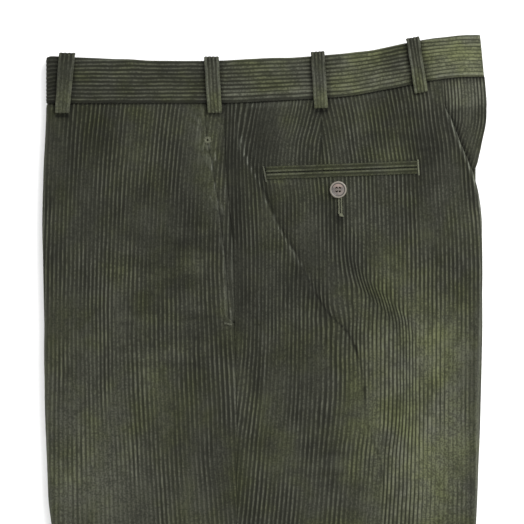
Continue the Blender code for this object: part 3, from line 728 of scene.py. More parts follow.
def wale_grid(rows, numbers, guides, table_of):
    """The x and wale number of a grid of points, a row for each of rows."""
    row = np.repeat(rows[:, None], len(numbers), axis=1)
    down = row.copy()
    for _ in range(SETTLE):
        x = wale_x(guides, table_of, numbers, down)
        down = row_down(x, row)
    x = x + 0.3 * noise(x, down, 24, 34, 5) + 0.15 * noise(x, down, 11, 15, 6)  # no wale is straight
    across = x - smooth(DRAG_CREASE, "x", down)  # the back fans out at the waist
    fan = ease((across + 2) / 12) * ease((40 - x) / 35) * np.clip((125 - down) / 63, 0.0, 1.0)
    x = x + FAN * fan * (table_of is BACK_WALES)
    off = x - smooth(SEAT_FOLD, "x", down)  # and both creases draw its wales together
    drawn_in_from = 69.0 - 15.0 * ease((down - 237) / 26)
    ahead = 10.0 * ease((256 - down) / 44)
    under = np.clip(0.5 - (off + ahead) / SEAT_FOLD_WIDE, 0.0, 1.0)
    under = under * ease((x - drawn_in_from) / 30 + 0.5)
    x = x + smooth(SEAT_FOLD, "shift", down) * under
    off = x - smooth(DRAG_CREASE, "x", down)
    under = np.clip(0.5 - off / DRAG_CREASE_WIDE, 0.0, 1.0) * ease(1.2 + off / 16)
    x = x + smooth(DRAG_CREASE, "shift", down) * under
    return x, np.repeat(np.array(numbers)[None, :], len(rows), axis=0)


def numbers_between(first, last):
    """Wale numbers of the columns, as many as the plain inside needs."""
    count = math.ceil((last - first) * COLUMNS / INSIDE_COLUMNS) * INSIDE_COLUMNS
    return first + np.arange(count + 1) / COLUMNS


def row_list(first, last, fine_to=FINE_TO, fine=FINE_STEP, coarse=COARSE_STEP):
    """Rows from first to last, close together at the seam and down to fine_to."""
    rows = [first, first + 0.7, first + 1.6]
    while rows[-1] < last:
        rows.append(rows[-1] + (fine if rows[-1] < fine_to else coarse))
    while (len(rows) - 1) % INSIDE_ROWS:
        rows.append(rows[-1] + 1)
    share = (np.array(rows) - first) / (rows[-1] - first)
    return first + share * (last - first)


# ---- meshes ----


def place(x, down, z):
    return np.stack([x, LENGTH / 2 - down, z], axis=-1)


def wall_faces(rows, columns):
    """Faces of a closed wall: a fine grid outside and a coarse one inside."""
    down_steps, across_steps = (rows - 1) // INSIDE_ROWS, (columns - 1) // INSIDE_COLUMNS
    first, wide = rows * columns, across_steps + 1
    r, c = np.meshgrid(np.arange(rows - 1), np.arange(columns - 1), indexing="ij")
    a = (r * columns + c).ravel()
    faces = np.stack([a, a + 1, a + columns + 1, a + columns], axis=1).tolist()
    r, c = np.meshgrid(np.arange(down_steps), np.arange(across_steps), indexing="ij")
    a = (first + r * wide + c).ravel()
    faces += np.stack([a, a + wide, a + wide + 1, a + 1], axis=1).tolist()
    for c in range(across_steps):
        run = np.arange(c * INSIDE_COLUMNS, (c + 1) * INSIDE_COLUMNS + 1)
        faces.append([*(int(k) for k in run), first + c + 1, first + c])
        low = first + down_steps * wide + c
        faces.append([*(int(k) for k in run[::-1] + (rows - 1) * columns), low, low + 1])
    for r in range(down_steps):
        run = np.arange(r * INSIDE_ROWS, (r + 1) * INSIDE_ROWS + 1) * columns
        near, far = first + r * wide, first + (r + 1) * wide
        faces.append([*(int(k) for k in run[::-1]), near, far])
        run = run + columns - 1
        faces.append([*(int(k) for k in run), far + across_steps, near + across_steps])
    return faces


def merged(points, faces):
    """The same shape with points that coincide made one, and no face without an area."""
    _, first, same = np.unique(
        np.round(points, 3), axis=0, return_index=True, return_inverse=True
    )
    kept = []
    same = same.reshape(-1)
    for face in faces:
        ring = [same[k] for k in face]
        ring = [k for i, k in enumerate(ring) if k != ring[i - 1]]
        if len(set(ring)) > 2 and len(set(ring)) == len(ring):
            kept.append(ring)
    return first, kept


def piece(name, points, faces, material, wale=None, finish=None, felt=None):
    """A smooth mesh of points in millimetres, with the attributes that its cloth's finish reads."""
    first, faces = merged(points, faces)
    mesh = bpy.data.meshes.new(name)
    mesh.from_pydata((points[first] * MM).tolist(), [], faces)
    mesh.validate()
    for label, values in (("wale", wale), ("finish", finish)):
        if values is not None:
            attribute = mesh.attributes.new(label, "FLOAT_VECTOR", "POINT")
            attribute.data.foreach_set("vector", values[first].astype(np.float32).ravel())
    if felt is not None:
        attribute = mesh.attributes.new("felt", "FLOAT", "POINT")
        attribute.data.foreach_set("value", felt[first].astype(np.float32))
    mesh.shade_smooth()
    mesh.materials.append(material)
    thing = bpy.data.objects.new(name, mesh)
    bpy.context.scene.collection.objects.link(thing)
    return thing


def wall(name, material, x, u, rows, section, finish_and_shade_at, hem=LENGTH, drop=None):
    """A corduroy wall on a grid of x and wale numbers, and the size of its flat cut.

    section gives x and z of the point that lies a depth under the crests.
    """
    row = np.repeat(rows[:, None], x.shape[1], axis=1)
    down = row_down(x, row)
    depth = relief(u, x, down)
    if drop is not None:
        depth = depth + drop(x, down, row)
    outside_x, outside_z = section(x, down, depth)
    at = np.minimum(row_down(outside_x, row), hem)
    outside = place(outside_x, at, outside_z).reshape(-1, 3)
    some = (slice(None, None, INSIDE_ROWS), slice(None, None, INSIDE_COLUMNS))
    thick = CLOTH if drop is None else CLOTH + drop(x, down, row)[some]
    inside_x, inside_z = section(x[some], down[some], thick + 0 * x[some])
    inside_at = np.minimum(row_down(inside_x, row[some]), hem)
    inside = place(inside_x, inside_at, inside_z).reshape(-1, 3)
    tone, wear, shade, olive = (v + 0 * x for v in finish_and_shade_at(x, down))
    wale = np.stack([u, down / WALE, olive], axis=-1)
    finish = np.stack([tone, wear, np.minimum(shade, 1)], axis=-1)
    both = [
        np.concatenate([values.reshape(-1, 3), values[some].reshape(-1, 3)])
        for values in (wale, finish)
    ]
    felt = felted(x, down)
    felt = np.concatenate([felt.ravel(), felt[some].ravel()])
    points = np.concatenate([outside, inside])
    made = piece(name, points, wall_faces(*x.shape), material, *both, felt)
    across = np.ptp(u, axis=1) * WALE
    area = float(np.sum((across[1:] + across[:-1]) / 2 * np.diff(row[:, 0])))
    flat = (float(across.max()), float(np.ptp(row)))
    return made, flat, area


# ---- the finish: tone with painted light, wear with painted highlights, painted shade and olive ----


def nap_and_painted_sheen(x, down):
    """Tone and olive of the pile: unevenness everywhere, and the patches, which also paint sheen and
    light.
    """
    tone = 1 + 0.10 * noise(x, down, 60, 90, 21) + 0.12 * noise(x, down, 20, 28, 22)
    olive = 0.35 + 0.35 * noise(x, down, 26, 34, 25)
    for at_x, at_down, wide, tall, more_tone, more_olive in rows_of(NAP_AND_SHEEN_PATCHES):
        patch = bell(x - at_x, wide) * bell(down - at_down, tall)
        tone = tone + more_tone * patch
        olive = olive + more_olive * patch
    return tone, olive


def broken(along, length, seed, least=0.2, gaps=0.0):
    """A worn edge shows in dashes. More gaps leave fewer of them."""
    return least + (1 - least) * ease(0.5 - gaps + 1.6 * noise(along, 0, length, 1, seed))


def streaks(x, down):
    """Wear along each of the streaks, fading at its ends."""
    wear = 0.0
    for x_top, first, x_end, last, strength in rows_of(STREAKS):
        off = x - x_top - (x_end - x_top) * (down - first) / (last - first)
        wear = wear + 1.65 * strength * bell(off, 0.8) * between(down, first, last, 2.0)
    return wear


def panel_finish_and_shade(x, down):
    """The near leg: painted ripples of light and shade, worn along its creases and edges with painted
    highlights there, and painted shade in and beside its seams and creases, by the button and the belt
    loops and under the waistband.
    """
    tone, olive = nap_and_painted_sheen(x, down)
    lines = lines_at(x, down)
    lines["jagged"] = lines["drag"] + 0.7 * noise(down, 0, 4, 1, 22)
    lines["frayed"] = lines["slant"] + 1.6 * noise(down, 0, 7, 1, 36)
    # Painted light and shade of ripples across the cloth.
    ripple_light_and_shade = noise(x, down, 34, 6, 38) + 0.5 * noise(x, down, 15, 3, 39)
    tone = tone + 0.16 * ripple_light_and_shade * soft_boxes(RIPPLED, lines, down)
    layers = {"tone": tone, "wear": streaks(x, down), "shade": 0.0}
    for layer, beside, right, wide, strength, first, last, soft, dashes in MARKS:
        mark = strength * bell(lines[beside] - right, wide) * between(down, first, last, soft)
        layers[layer] = layers[layer] + (mark if dashes is None else mark * broken(down, *dashes))
    tone, wear, shade = layers["tone"], layers["wear"], layers["shade"]

    # Painted shadow of the button, and painted shade in the side seam.
    button_shadow = bell(x - 60.6, 2.6) * bell(down - 146.5, 4.0)
    seam_shade_fading = (0.25 + 0.3 * ease((150 - down) / 60)) * (1 - 0.5 * ease((down - 170) / 40))
    seam_shade = seam_shade_fading * bell(lines["seam"] - 0.2, 0.9) * between(down, 50, 330, 60)
    shade = shade + 0.4 * button_shadow + seam_shade
    rubbed = (0.45 - 0.25 * ease((down - 108) / 16)) * ease(0.4 + 1.5 * noise(x, down, 2.2, 3.6, 29))
    wear = wear + rubbed * bell(lines["slant"] + 4.0, 6.5) * between(down, 62, 165, 20)

    # Painted shadow under the waistband's edge.
    below = down - waist_seam(x)
    shade = shade + 0.85 * ease(1 - below / 2.4)
    tips = 0.15 + 0.35 * between(x, -30, 110, 20) + 0.5 * between(x, -32, 30, 12)
    wear = wear + tips * bell(below - 2.8, 1.3) * ease(0.6 + 1.2 * noise(x, 0, 5, 1, 30))
    # Painted shadow below each belt loop's end, longer where the loop's wear is over 0.6, and beside
    # its sides.
    for _, _, x_end, _, wide, worn in LOOPS:
        end = waist_seam(x_end) + LOOP_BELOW
        off = np.abs(x - x_end) - wide / 2
        deep = 1.1 + 1.1 * (worn > 0.6)
        shade = shade + bell(down - end - deep, deep) * ease(0.5 - off / 2)
        shade = shade + 0.5 * bell(off - 0.6, 1.2) * ease((end + 2 - down) / 3)
    # Painted shade in the dart.
    shade = shade + 0.3 * bell(x - DART_X, 1.3) * ease((DART_TIP + 20 - down) / 24)
    # Worn pile along the creases' edges, with a painted highlight where they round over.
    for name, first, most in (("front_fold", 62, 0.4), ("back_fold", 66, 0.5)):
        off = np.abs(x - edge_line(name, down))
        wear = wear + most * bell(off - 1.4, 1.0) * ease((down - first) / 12)
    return tone, wear, shade, olive


def far_lift(x, down):
    """How far the lower leg's cloth stands off the surface in its creases."""
    lift = 0.0
    for k, (x_top, first, x_end, last, deep, wide) in enumerate(rows_of(FAR_CREASES)):
        middle = x_top + (x_end - x_top) * (down - first) / (last - first)
        off = x - middle + 2.4 * noise(0, down, 1, 34, 50 + k)
        fading = between(down, first, last, 44) * (0.8 + 0.25 * noise(0, down, 1, 26, 60 + k))
        lift = lift + deep * bell(off, wide) * fading
    return lift


def far_finish_and_shade(x, down):
    """The lower leg: painted shade in its creases and along its side seam."""
    tone, olive = nap_and_painted_sheen(x, down)
    shade = 0.35 * bell(x - edge_line("side_seam", down), 0.9)
    return tone - 0.3 * far_lift(x, down), 0.0, shade, olive


# ---- materials ----


class Shader:
    """A material's nodes, with a short name for each kind that the finishes need."""

    def __init__(self, name):
        self.material = bpy.data.materials.new(name)
        self.material.use_nodes = True
        self.tree = self.material.node_tree
        self.surface = self.tree.nodes["Principled BSDF"]

    def put(self, socket, value):
        if isinstance(value, bpy.types.NodeSocket):
            self.tree.links.new(value, socket)
        else:
            socket.default_value = value

    def node(self, kind, *values, **settings):
        made = self.tree.nodes.new(kind)
        for name, value in settings.items():
            setattr(made, name, value)
        for socket, value in zip(made.inputs, values):
            if value is not None:
                self.put(socket, value)
        return made

    def math(self, operation, *values):
        return self.node("ShaderNodeMath", *values, operation=operation).outputs[0]

    def times(self, a, b):
        return self.math("MULTIPLY", a, b)

    def scaled(self, value, by, plus):
        return self.math("MULTIPLY_ADD", value, by, plus)

    def rest(self, value):
        return self.math("SUBTRACT", 1.0, value)

    def swing(self, noise, by, plus):
        """A noise's swing about its middle, scaled, on top of another value."""
        return self.scaled(self.math("SUBTRACT", noise, 0.5), by, plus)

    def here(self, shift=None):
        """The place on the object, or one shifted from it for a noise of its own."""
        place_at = self.node("ShaderNodeTexCoord").outputs["Object"]
        if shift is None:
            return place_at
        return self.node("ShaderNodeVectorMath", place_at, shift, operation="ADD").outputs[0]

    def join(self, x, y, z=0.0):
        return self.node("ShaderNodeCombineXYZ", x, y, z).outputs[0]

    def split(self, name):
        read = self.node("ShaderNodeAttribute", attribute_name=name)
        return self.node("ShaderNodeSeparateXYZ", read.outputs["Vector"]).outputs

    def noise(self, vector, scale, detail=2.0, rough=0.6):
        made = self.node("ShaderNodeTexNoise")
        values = {"Vector": vector, "Scale": scale, "Detail": detail, "Roughness": rough}
        for label, value in values.items():
            self.put(made.inputs[label], value)
        return made.outputs[0]

    def step(self, value, low, high, to_low=0.0, to_high=1.0):
        made = self.node("ShaderNodeMapRange", interpolation_type="SMOOTHSTEP")
        for k, v in enumerate((value, low, high, to_low, to_high)):
            self.put(made.inputs[k], v)
        return made.outputs[0]

    def mix(self, share, a, b, blend="MIX"):
        made = self.node("ShaderNodeMix", data_type="RGBA", blend_type=blend)
        self.put(made.inputs[0], share)
        self.put(made.inputs[6], a)
        self.put(made.inputs[7], b)
        return made.outputs[2]

    def bump(self, height, distance, strength=1.0):
        made = self.node("ShaderNodeBump")
        self.put(made.inputs["Height"], height)
        self.put(made.inputs["Distance"], distance * MM)
        self.put(made.inputs["Strength"], strength)
        return made.outputs[0]

    def finish(self, colour, normal=None, **constants):
        self.put(self.surface.inputs["Base Color"], colour)
        if normal is not None:
            self.put(self.surface.inputs["Normal"], normal)
        for label, value in constants.items():
            self.surface.inputs[label.replace("_", " ")].default_value = value
        return self.material


def corduroy(name, furrow_edge, furrow_shade_colour, dark, light, worn):
    """Cut pile in wales: painted shade in the furrows, crests in streaks, tufts, worn specks, mottling.
    """
    s = Shader(name)
    u, v, olive = s.split("wale")
    tone, wear, shade = s.split("finish")
    felt = s.node("ShaderNodeAttribute", attribute_name="felt").outputs["Fac"]
    own = s.times(s.math("FLOOR", s.math("ADD", u, 0.5)), 7.31)  # no two wales have the same noise
    streak = s.noise(s.join(own, s.times(v, 0.22)), 1.0)
    dashes = s.noise(s.join(own, s.times(v, 1.4)), 1.0, 3.0, 0.65)
    tufts = s.noise(s.join(s.times(u, 3.4), s.times(v, 2.6)), 1.0, 3.0, 0.7)
    mottle = s.noise(s.here(), 30.0, 3.0, 0.65)
    patchy = s.noise(s.here((2.3, 5.1, 0.2)), 85.0)
    amount = 0.45
    for part, weight in ((streak, 1.3), (dashes, 1.3), (tufts, 1.5), (mottle, 0.9), (patchy, 0.8)):
        amount = s.swing(part, weight, amount)
    fuzz = s.noise(s.here((1.3, 0.4, 0.9)), 680.0, 3.0, 0.8)
    fuzz = s.times(s.math("SUBTRACT", fuzz, 0.5), s.scaled(felt, 4.2, 1.5))
    pile = s.mix(s.step(s.math("ADD", amount, fuzz), -0.1, 1.0), dark, light)
    lean = s.swing(patchy, 0.9, s.rest(tone))
    sway = s.noise(s.join(own, s.times(v, 0.5), 4.0), 1.0)
    phase = s.math("COSINE", s.times(s.swing(sway, 0.22, u), 2 * math.pi))
    crisp = s.step(s.math("SUBTRACT", phase, s.times(lean, 0.9)), *furrow_edge)
    plain = s.times(felt, 0.72)
    crest = s.math("ADD", s.times(crisp, s.rest(plain)), s.times(s.scaled(lean, -0.25, 0.42), plain))
    # The furrows' colour is painted shade, darker than the pile.
    bottom = s.mix(s.step(mottle, 0.3, 0.7), furrow_shade_colour, dark)
    cloth = s.mix(crest, s.mix(0.35, furrow_shade_colour, bottom), pile)
    green = s.noise(s.here((3.1, 1.7, 0.4)), 48.0)
    green = s.step(s.swing(green, 1.6, olive), 0.0, 1.2)
    cloth = s.mix(green, cloth, (0.98, 1.03, 0.68, 1), "MULTIPLY")
    # Worn specks on the crests, which also paint the highlights that the wear channel carries.
    speck = s.step(s.noise(s.join(s.times(u, 3.0), v), 1.0, 2.0, 0.7), 0.42, 0.66)
    rubbed = s.times(s.times(s.scaled(speck, 0.6, 0.4), wear), s.scaled(crest, 0.85, 0.15))
    cloth = s.mix(rubbed, cloth, worn)
    # Painted light and shade from the finish: its tone and shade scale the colour.
    shaded = s.times(tone, s.rest(s.times(shade, 0.85)))
    grey = s.node("ShaderNodeCombineColor", shaded, shaded, shaded).outputs[0]
    fine = s.noise(s.join(s.times(u, 9.0), s.times(v, 5.0)), 1.0)
    return s.finish(
        s.mix(1.0, cloth, grey, "MULTIPLY"),
        s.bump(s.math("ADD", s.times(tufts, 0.6), s.times(fine, 0.4)), 0.6, 0.8),
        Roughness=0.92,
        Specular_IOR_Level=0.1,
        Sheen_Weight=0.12,
        Sheen_Roughness=0.5,
        Sheen_Tint=(0.60, 0.62, 0.48, 1),
    )


def thread(name, colour, dark):
    """Twisted thread."""
    s = Shader(name)
    twist, patchy = s.noise(s.here(), 2600.0), s.noise(s.here(), 500.0)
    shade = s.mix(s.step(twist, 0.35, 0.65), dark, colour)
    shade = s.mix(s.step(patchy, 0.3, 0.7), shade, colour)
    return s.finish(shade, s.bump(twist, 0.15), Roughness=0.7, Specular_IOR_Level=0.3)


def button_plastic():
    """Horn-like plastic: cloudy brown and pink-grey, a paler polished rim, a painted highlight above
    and painted shade in its ditch.
    """
    s = Shader("button_plastic")
    x, y, _ = s.node("ShaderNodeSeparateXYZ", s.here()).outputs
    cloud, grain = s.noise(s.here(), 190.0, 4.0), s.noise(s.here(), 900.0, 3.0)
    body = s.mix(s.step(cloud, 0.32, 0.68), (0.054, 0.046, 0.041, 1), (0.128, 0.106, 0.092, 1))
    # Painted highlight: pinker and lighter towards the upper edge.
    body = s.mix(s.step(y, 0.0005, 0.0045, 0.0, 0.7), body, (0.176, 0.122, 0.100, 1))
    body = s.mix(s.step(grain, 0.55, 0.8, 0.0, 0.5), body, (0.06, 0.05, 0.048, 1))
    radius = s.times(s.math("SQRT", s.math("ADD", s.times(x, x), s.times(y, y))), 1 / MM)
    rim = s.step(radius, 5.9, 6.3)
    body = s.mix(rim, body, (0.134, 0.120, 0.097, 1))
    # Painted shade in the ditch inside the rim.
    ditch_shade = s.times(s.step(radius, 5.0, 5.45), s.rest(rim))
    body = s.mix(ditch_shade, body, (0.022, 0.018, 0.016, 1))
    return s.finish(body, s.bump(grain, 0.04, 0.5), Roughness=0.32, Specular_IOR_Level=0.5)


def hidden_cloth():
    """The cloth of the layers inside, seen only as a dark line between the outer ones, with painted
    shade where one layer meets the next.
    """
    s = Shader("hidden_cloth")
    z = s.node("ShaderNodeSeparateXYZ", s.here()).outputs["Z"]
    layers = s.math("SINE", s.times(z, 2 * math.pi / (CLOTH * MM)))
    fibre = s.noise(s.here(), 700.0, 3.0)
    shade = s.mix(s.step(fibre, 0.3, 0.7), (0.016, 0.018, 0.012, 1), (0.040, 0.043, 0.030, 1))
    # Painted shade: near black bands where one layer meets the next.
    shade = s.mix(s.step(layers, -1.0, -0.6, 1.0, 0.0), shade, (0.006, 0.006, 0.005, 1))
    return s.finish(shade, s.bump(fibre, 0.3), Roughness=0.95, Specular_IOR_Level=0.1)


# ---- panels ----


def seam_drop(x, down, row):
    """How far a panel turns down into the waist seam and its hem."""
    into_waist = 1.1 * ease(1 - (row - TOP_ROW) / 2.4)
    into_hem = 0.9 * ease(1 - (LENGTH - HEM_STEP - down) / 2.0)
    return into_waist + into_hem


def front_drop(x, down, row):
    """The same, and how far the front turns down along its pocket mouth."""
    into_mouth = 0.7 * ease(1 - (edge_line("slant", down) - x) / 1.6)
    return seam_drop(x, down, row) + into_mouth * ease((MOUTH_END - down) / 8)


def upper_wall(name, material, rows, x, u, side, drop):
    """A panel of the upper leg, from its seam to the end of its lip."""
    cut(x, u, settled(rows, lambda down: lip_end(side, down)), side)

    def section(x, down, depth):
        return wrapped(side, x, down, depth)

    return wall(name, material, x, u, rows, section, panel_finish_and_shade, LENGTH - HEM_STEP, drop)


def make_left_front(material):
    """The left front, from the slant pocket and the side seam to the front crease."""
    rows = row_list(TOP_ROW, LENGTH)
    x, u = wale_grid(rows, numbers_between(*FRONT_RANGE), FRONT_GUIDES, FRONT_WALES)

    def seam(down):
        return np.minimum(edge_line("slant", down), edge_line("side_seam", down))

    cut(x, u, settled(rows, seam) - MEET, 1)
    return upper_wall("left_front_cloth", material, rows, x, u, -1, front_drop)


def make_left_back(material):
    """The left back, whose wales meet at the dart from both sides."""
    rows = row_list(TOP_ROW, LENGTH)
    at_dart = row_down(DART_X, rows) < DART_TIP
    right, left = numbers_between(BACK_RANGE[0], DART_WALE), numbers_between(DART_WALE, BACK_RANGE[1])
    x_right, u_right = wale_grid(rows, right, BACK_RIGHT_GUIDES, BACK_WALES)
    cut(x_right, u_right, np.where(at_dart, DART_X, -BEYOND), -1)
    x_left, u_left = wale_grid(rows, left, BACK_LEFT_GUIDES, BACK_WALES)
    cut(x_left, u_left, np.where(at_dart, DART_X, BEYOND), 1)
    x = np.concatenate([x_right[:, :-1], x_left], axis=1)
    u = np.concatenate([u_right[:, :-1], u_left], axis=1)
    cut(x, u, settled_edge(rows, "side_seam") + MEET, -1)
    return upper_wall("left_back_cloth", material, rows, x, u, 1, seam_drop)


def make_facing(material):
    """The strip between the slant pocket's mouth and the side seam."""
    rows = row_list(TOP_ROW, FACING_END)
    x, u = wale_grid(rows, numbers_between(33, FRONT_RANGE[1]), FRONT_GUIDES, FRONT_WALES)
    edge = settled_edge(rows, "side_seam") - MEET
    cut(x, u, edge, 1)
    cut(x, u, np.minimum(settled_edge(rows, "slant") - 2.0, edge - 0.5), -1)

    def section(x, down, depth):
        from_seam = edge_line("side_seam", down) - x
        return x, top(x, down) - SLANT_STEP * (0.1 + 0.9 * ease((from_seam - 0.4) / 2.4)) - depth

    def finish(x, down):
        tone, wear, shade, olive = panel_finish_and_shade(x, down)
        # Painted shadow where the pocket's mouth overhangs the facing.
        return tone, wear, shade + 0.6 * bell(x - edge_line("slant", down), 1.8), olive

    return wall("left_facing_cloth", material, x, u, rows, section, finish, drop=seam_drop)


def make_seat(material):
    """The left back past its crease, up to the centre back seam, a layer lower."""
    rows = row_list(TOP_ROW, SEAT_END)
    numbers = numbers_between(0, 22)
    edge = settled_edge(rows, "far_back") - GAP
    row = np.repeat(rows[:, None], len(numbers), axis=1)
    pitch = WALE * (0.79 + 0.15 * ease((row - 96) / 40))
    x = edge[:, None] - pitch * numbers[None, :] + 0.25 * noise(row, 0, 20, 1, 31)
    u = np.repeat(numbers[None, :], len(rows), axis=0)
    fold = settled_edge(rows, "back_fold")
    cut(x, u, np.minimum(fold - SEAT_TUCK, edge - 1.0), -1)
    cut(x, u, edge, 1)

    def section(x, down, depth):
        past = edge_line("far_back", down) - GAP - x
        rounding = 0.9 * ease(1 - past / 2.2) * (depth < CLOTH - 0.01)
        near_waist = ease(1 - (down - waist_seam(x)) / 42)
        fold = edge_line("back_fold", down)
        beside = ease((x - fold - 0.1 + 2.6 * near_waist) / 1.2)
        level = SEAT_Z + CLOTH
        rise = np.maximum(smooth(WAIST, "band_z", x) - 1.3 - level, 0) * near_waist * beside
        dip = 0.5 * noise(x, down, 11, 24, 32) * beside * (1 - near_waist) - 0.3
        return x, level + rise + np.where(beside > 0, dip, 0) * 0.6 - depth - rounding

    def finish(x, down):
        tone, olive = nap_and_painted_sheen(x, down)
        crease = x - edge_line("back_fold", down)
        below = down - waist_seam(x)
        # Painted shadow beside the back crease, and under the waistband's edge.
        shade = 0.75 * bell(crease - 0.8, 2.0) * ease((below - 20) / 24)
        tone = tone + 0.45 * between(below, 4, 26, 10) * ease((x - 158) / 14)
        return tone, 0.0, shade + 0.85 * ease(1 - below / 2.4), olive

    return wall("left_seat_cloth", material, x, u, rows, section, finish)


def make_right_panel(name, material, side):
    """A panel of the lower leg: flat underneath, round its crease and along a lip inside."""
    rows = row_list(FAR_TOP_ROW, LENGTH, fine_to=160.0, fine=4.0, coarse=14.0)
    radius = LEG / 2
    if side < 0:
        x, u = wale_grid(rows, numbers_between(*FRONT_RANGE), FRONT_GUIDES, FRONT_WALES)
    else:
        guides = {**BACK_RIGHT_GUIDES, **BACK_LEFT_GUIDES}
        x, u = wale_grid(rows, numbers_between(*BACK_RANGE), guides, BACK_WALES)

    def fold(down):
        return edge_line("front_fold", down) + GAP if side < 0 else edge_line("far_back", down)

    end = math.pi * radius + LIP
    cut(x, u, settled_edge(rows, "side_seam") + side * MEET, -side)
    cut(x, u, settled(rows, lambda down: fold(down) + side * (end - radius)), side)

    def section(x, down, depth):
        depth = np.minimum(depth, CLOTH)  # a crease lifts the outer face alone
        past = np.clip(side * (x - fold(down)) + radius, 0.0, end)
        angle = np.minimum(past / radius, math.pi)
        run = np.maximum(past - math.pi * radius, 0.0)
        turn = fold(down) - side * radius
        round_x = turn + side * ((radius - depth) * np.sin(angle) - run)
        flat = past <= 0
        return np.where(flat, x, round_x), np.where(
            flat, depth, radius - (radius - depth) * np.cos(angle)
        )

    def drop(x, down, row):
        return far_lift(x, down)

    return wall(name, material, x, u, rows, section, far_finish_and_shade, drop=drop)


# ---- waistbands ----


def band_section(fold_under):
    """A waistband's outline from its seam, up its face, over its top and down its back.

    Each point has a height above the seam, a depth under the face, its place across the wales and
    how far it belongs to the face.
    """
    half = BAND_WALL / 2
    straight = BAND - half
    points = [(0.6, 2.4), (0.05, 1.5), (0.2, 0.75)] if fold_under else [(0.0, 0.0)]
    steps = round(straight / BAND_PITCH * COLUMNS)
    points += [(straight * k / steps, 0.0) for k in range(1, steps + 1)]
    around = []
    for degrees in range(15, 181, 15):
        a = math.radians(degrees)
        points.append((straight + half * math.sin(a), half - half * math.cos(a)))
        around.append(straight + half * a)
    back = np.linspace(straight, 0.0, 7)[1:]
    points += [(height, BAND_WALL) for height in back]
    height, depth = np.array(points).T
    along = height.copy()
    first = len(points) - len(back) - len(around)
    along[first:] = [*around, *(around[-1] + straight - back)]
    face = ease((BAND_WALL - 0.5 - depth) / 1.5)
    return height, depth, along / BAND_PITCH, face


# How far the waistband's top edge waves.
TOP_WAVE = table(
    "x rise",
    (-190, 0.9),
    (-170, 0.0),
    (-137, 0.5),
    (-120, 1.1),
    (-100, 0.2),
    (-50, -0.2),
    (-12, 0.7),
    (6, 0.6),
    (24, -0.2),
    (66, 0.7),
    (78, 0.7),
    (98, -0.4),
    (125, 0.2),
    (150, -0.3),
    (166, -0.9),
    (184, -0.3),
)


def band_shape(x, height):
    """x and height of a waistband's point where it leans at one end and rolls at the other.

    Also how much of the rise comes from the roll, which brings more of the wales in sight.
    """
    lean = BAND_LEAN * ease((x - 130) / 67) * np.clip(height / BAND, 0, 1)
    upper = ease((height - 20) / 18)
    rise = BAND_RISE * ease((-105 - x) / 75) * upper
    corner = 0.9 * ease((BAND_FRONT + 7 - x) / 7) ** 2 * upper - smooth(TOP_WAVE, "rise", x) * upper
    return x - lean, height + rise - corner, rise


def sweep(stations, around):
    """Faces of a closed outline carried along stations, with an end face at both ends."""
    faces = [list(range(around))[::-1], [(stations - 1) * around + k for k in range(around)]]
    for s in range(stations - 1):
        for k in range(around):
            n = (k + 1) % around
            faces.append([s * around + k, s * around + n, (s + 1) * around + n, (s + 1) * around + k])
    return faces


def band_stations(first, last, step):
    """x from first to last, about a step apart."""
    return np.linspace(first, last, max(2, round(abs(last - first) / step) + 1))


def swept(name, material, sections):
    """A piece through its sections: each one's points, wales and finish, and its felt if it has any."""
    arrays = [np.concatenate(values) for values in zip(*sections)]
    faces = sweep(len(sections), len(arrays[0]) // len(sections))
    return piece(name, arrays[0], faces, material, *arrays[1:])


def in_rows(*values):
    """Values side by side, a row for each point."""
    return np.stack(np.broadcast_arrays(*values), axis=1)


def make_left_band(material):
    """The upper waistband, from its end at the centre back over and round the front crease."""
    height, depth, u, face = band_section(True)
    radius = (float(WAIST["band_z"][0]) - FRONT_LIP_Z) / 2
    fold = BAND_FRONT + radius
    stations = [(BAND_END, 0, 3.2), (BAND_END, 0, 1.9), (BAND_END - 0.25, 0, 0.8)]
    stations += [(BAND_END - 1.0, 0, 0.25)]
    stations += [(x, 0, 0.0) for x in band_stations(BAND_END - 2.2, fold, 3.0)]
    stations += [(fold, a, 0.0) for a in range(15, 181, 15)]
    stations += [(BAND_FRONT + inside, 180, 0.0) for inside in np.linspace(12, BAND_TUCK, 12)]
    sections = []
    walked = 0.0
    for s, (x, degrees, drop) in enumerate(stations):
        angle = math.radians(degrees)
        upright = x - radius * math.sin(angle)
        at_x, at_height, rise = band_shape(upright, height)
        wales_at = u * (1 + 0.07 * ease((upright - 110) / 60)) + rise / BAND_PITCH
        wave = 0.25 * noise(x, height, 26, 14, 41) + 0.18 * noise(x, height, 8, 9, 42)
        groove = 0.5 * furrow(wales_at) * face
        sunk = depth + groove * ease(height / 2) - wave * face * (degrees == 0) + drop
        if degrees == 0:
            z = float(smooth(WAIST, "band_z", x)) - sunk
            across = at_x
        else:
            across = at_x + sunk * math.sin(angle)
            z = FRONT_LIP_Z + radius + (radius - sunk) * math.cos(angle)
        sag = 1.8 * ease((BAND_FRONT + 9 - upright) / 9) * np.sin(math.pi * height / BAND)
        wander = 0.3 * noise(x, height, 22, 10, 43) + 0.15 * noise(x, height, 7, 7, 45)
        down = float(waist_seam(max(upright, fold))) - at_height
        down = down + (sag - wander) * face * ease(height / 4) * ease((BAND - height) / 3)
        before = stations[max(s - 1, 0)]
        walked += abs(x - before[0]) + radius * abs(math.radians(degrees - before[1]))
        tone, wear, shade, olive = band_finish_and_shade(upright, height)
        felt = 0.24 + 0.2 * noise(upright, height, 24, 9, 49) + 0 * u
        points = place(across + 0 * down, down, z + 0 * down)
        wales = in_rows(wales_at, walked / WALE, olive)
        sections.append((points, wales, in_rows(tone, wear, shade), felt))
    return swept("left_band_cloth", material, sections)


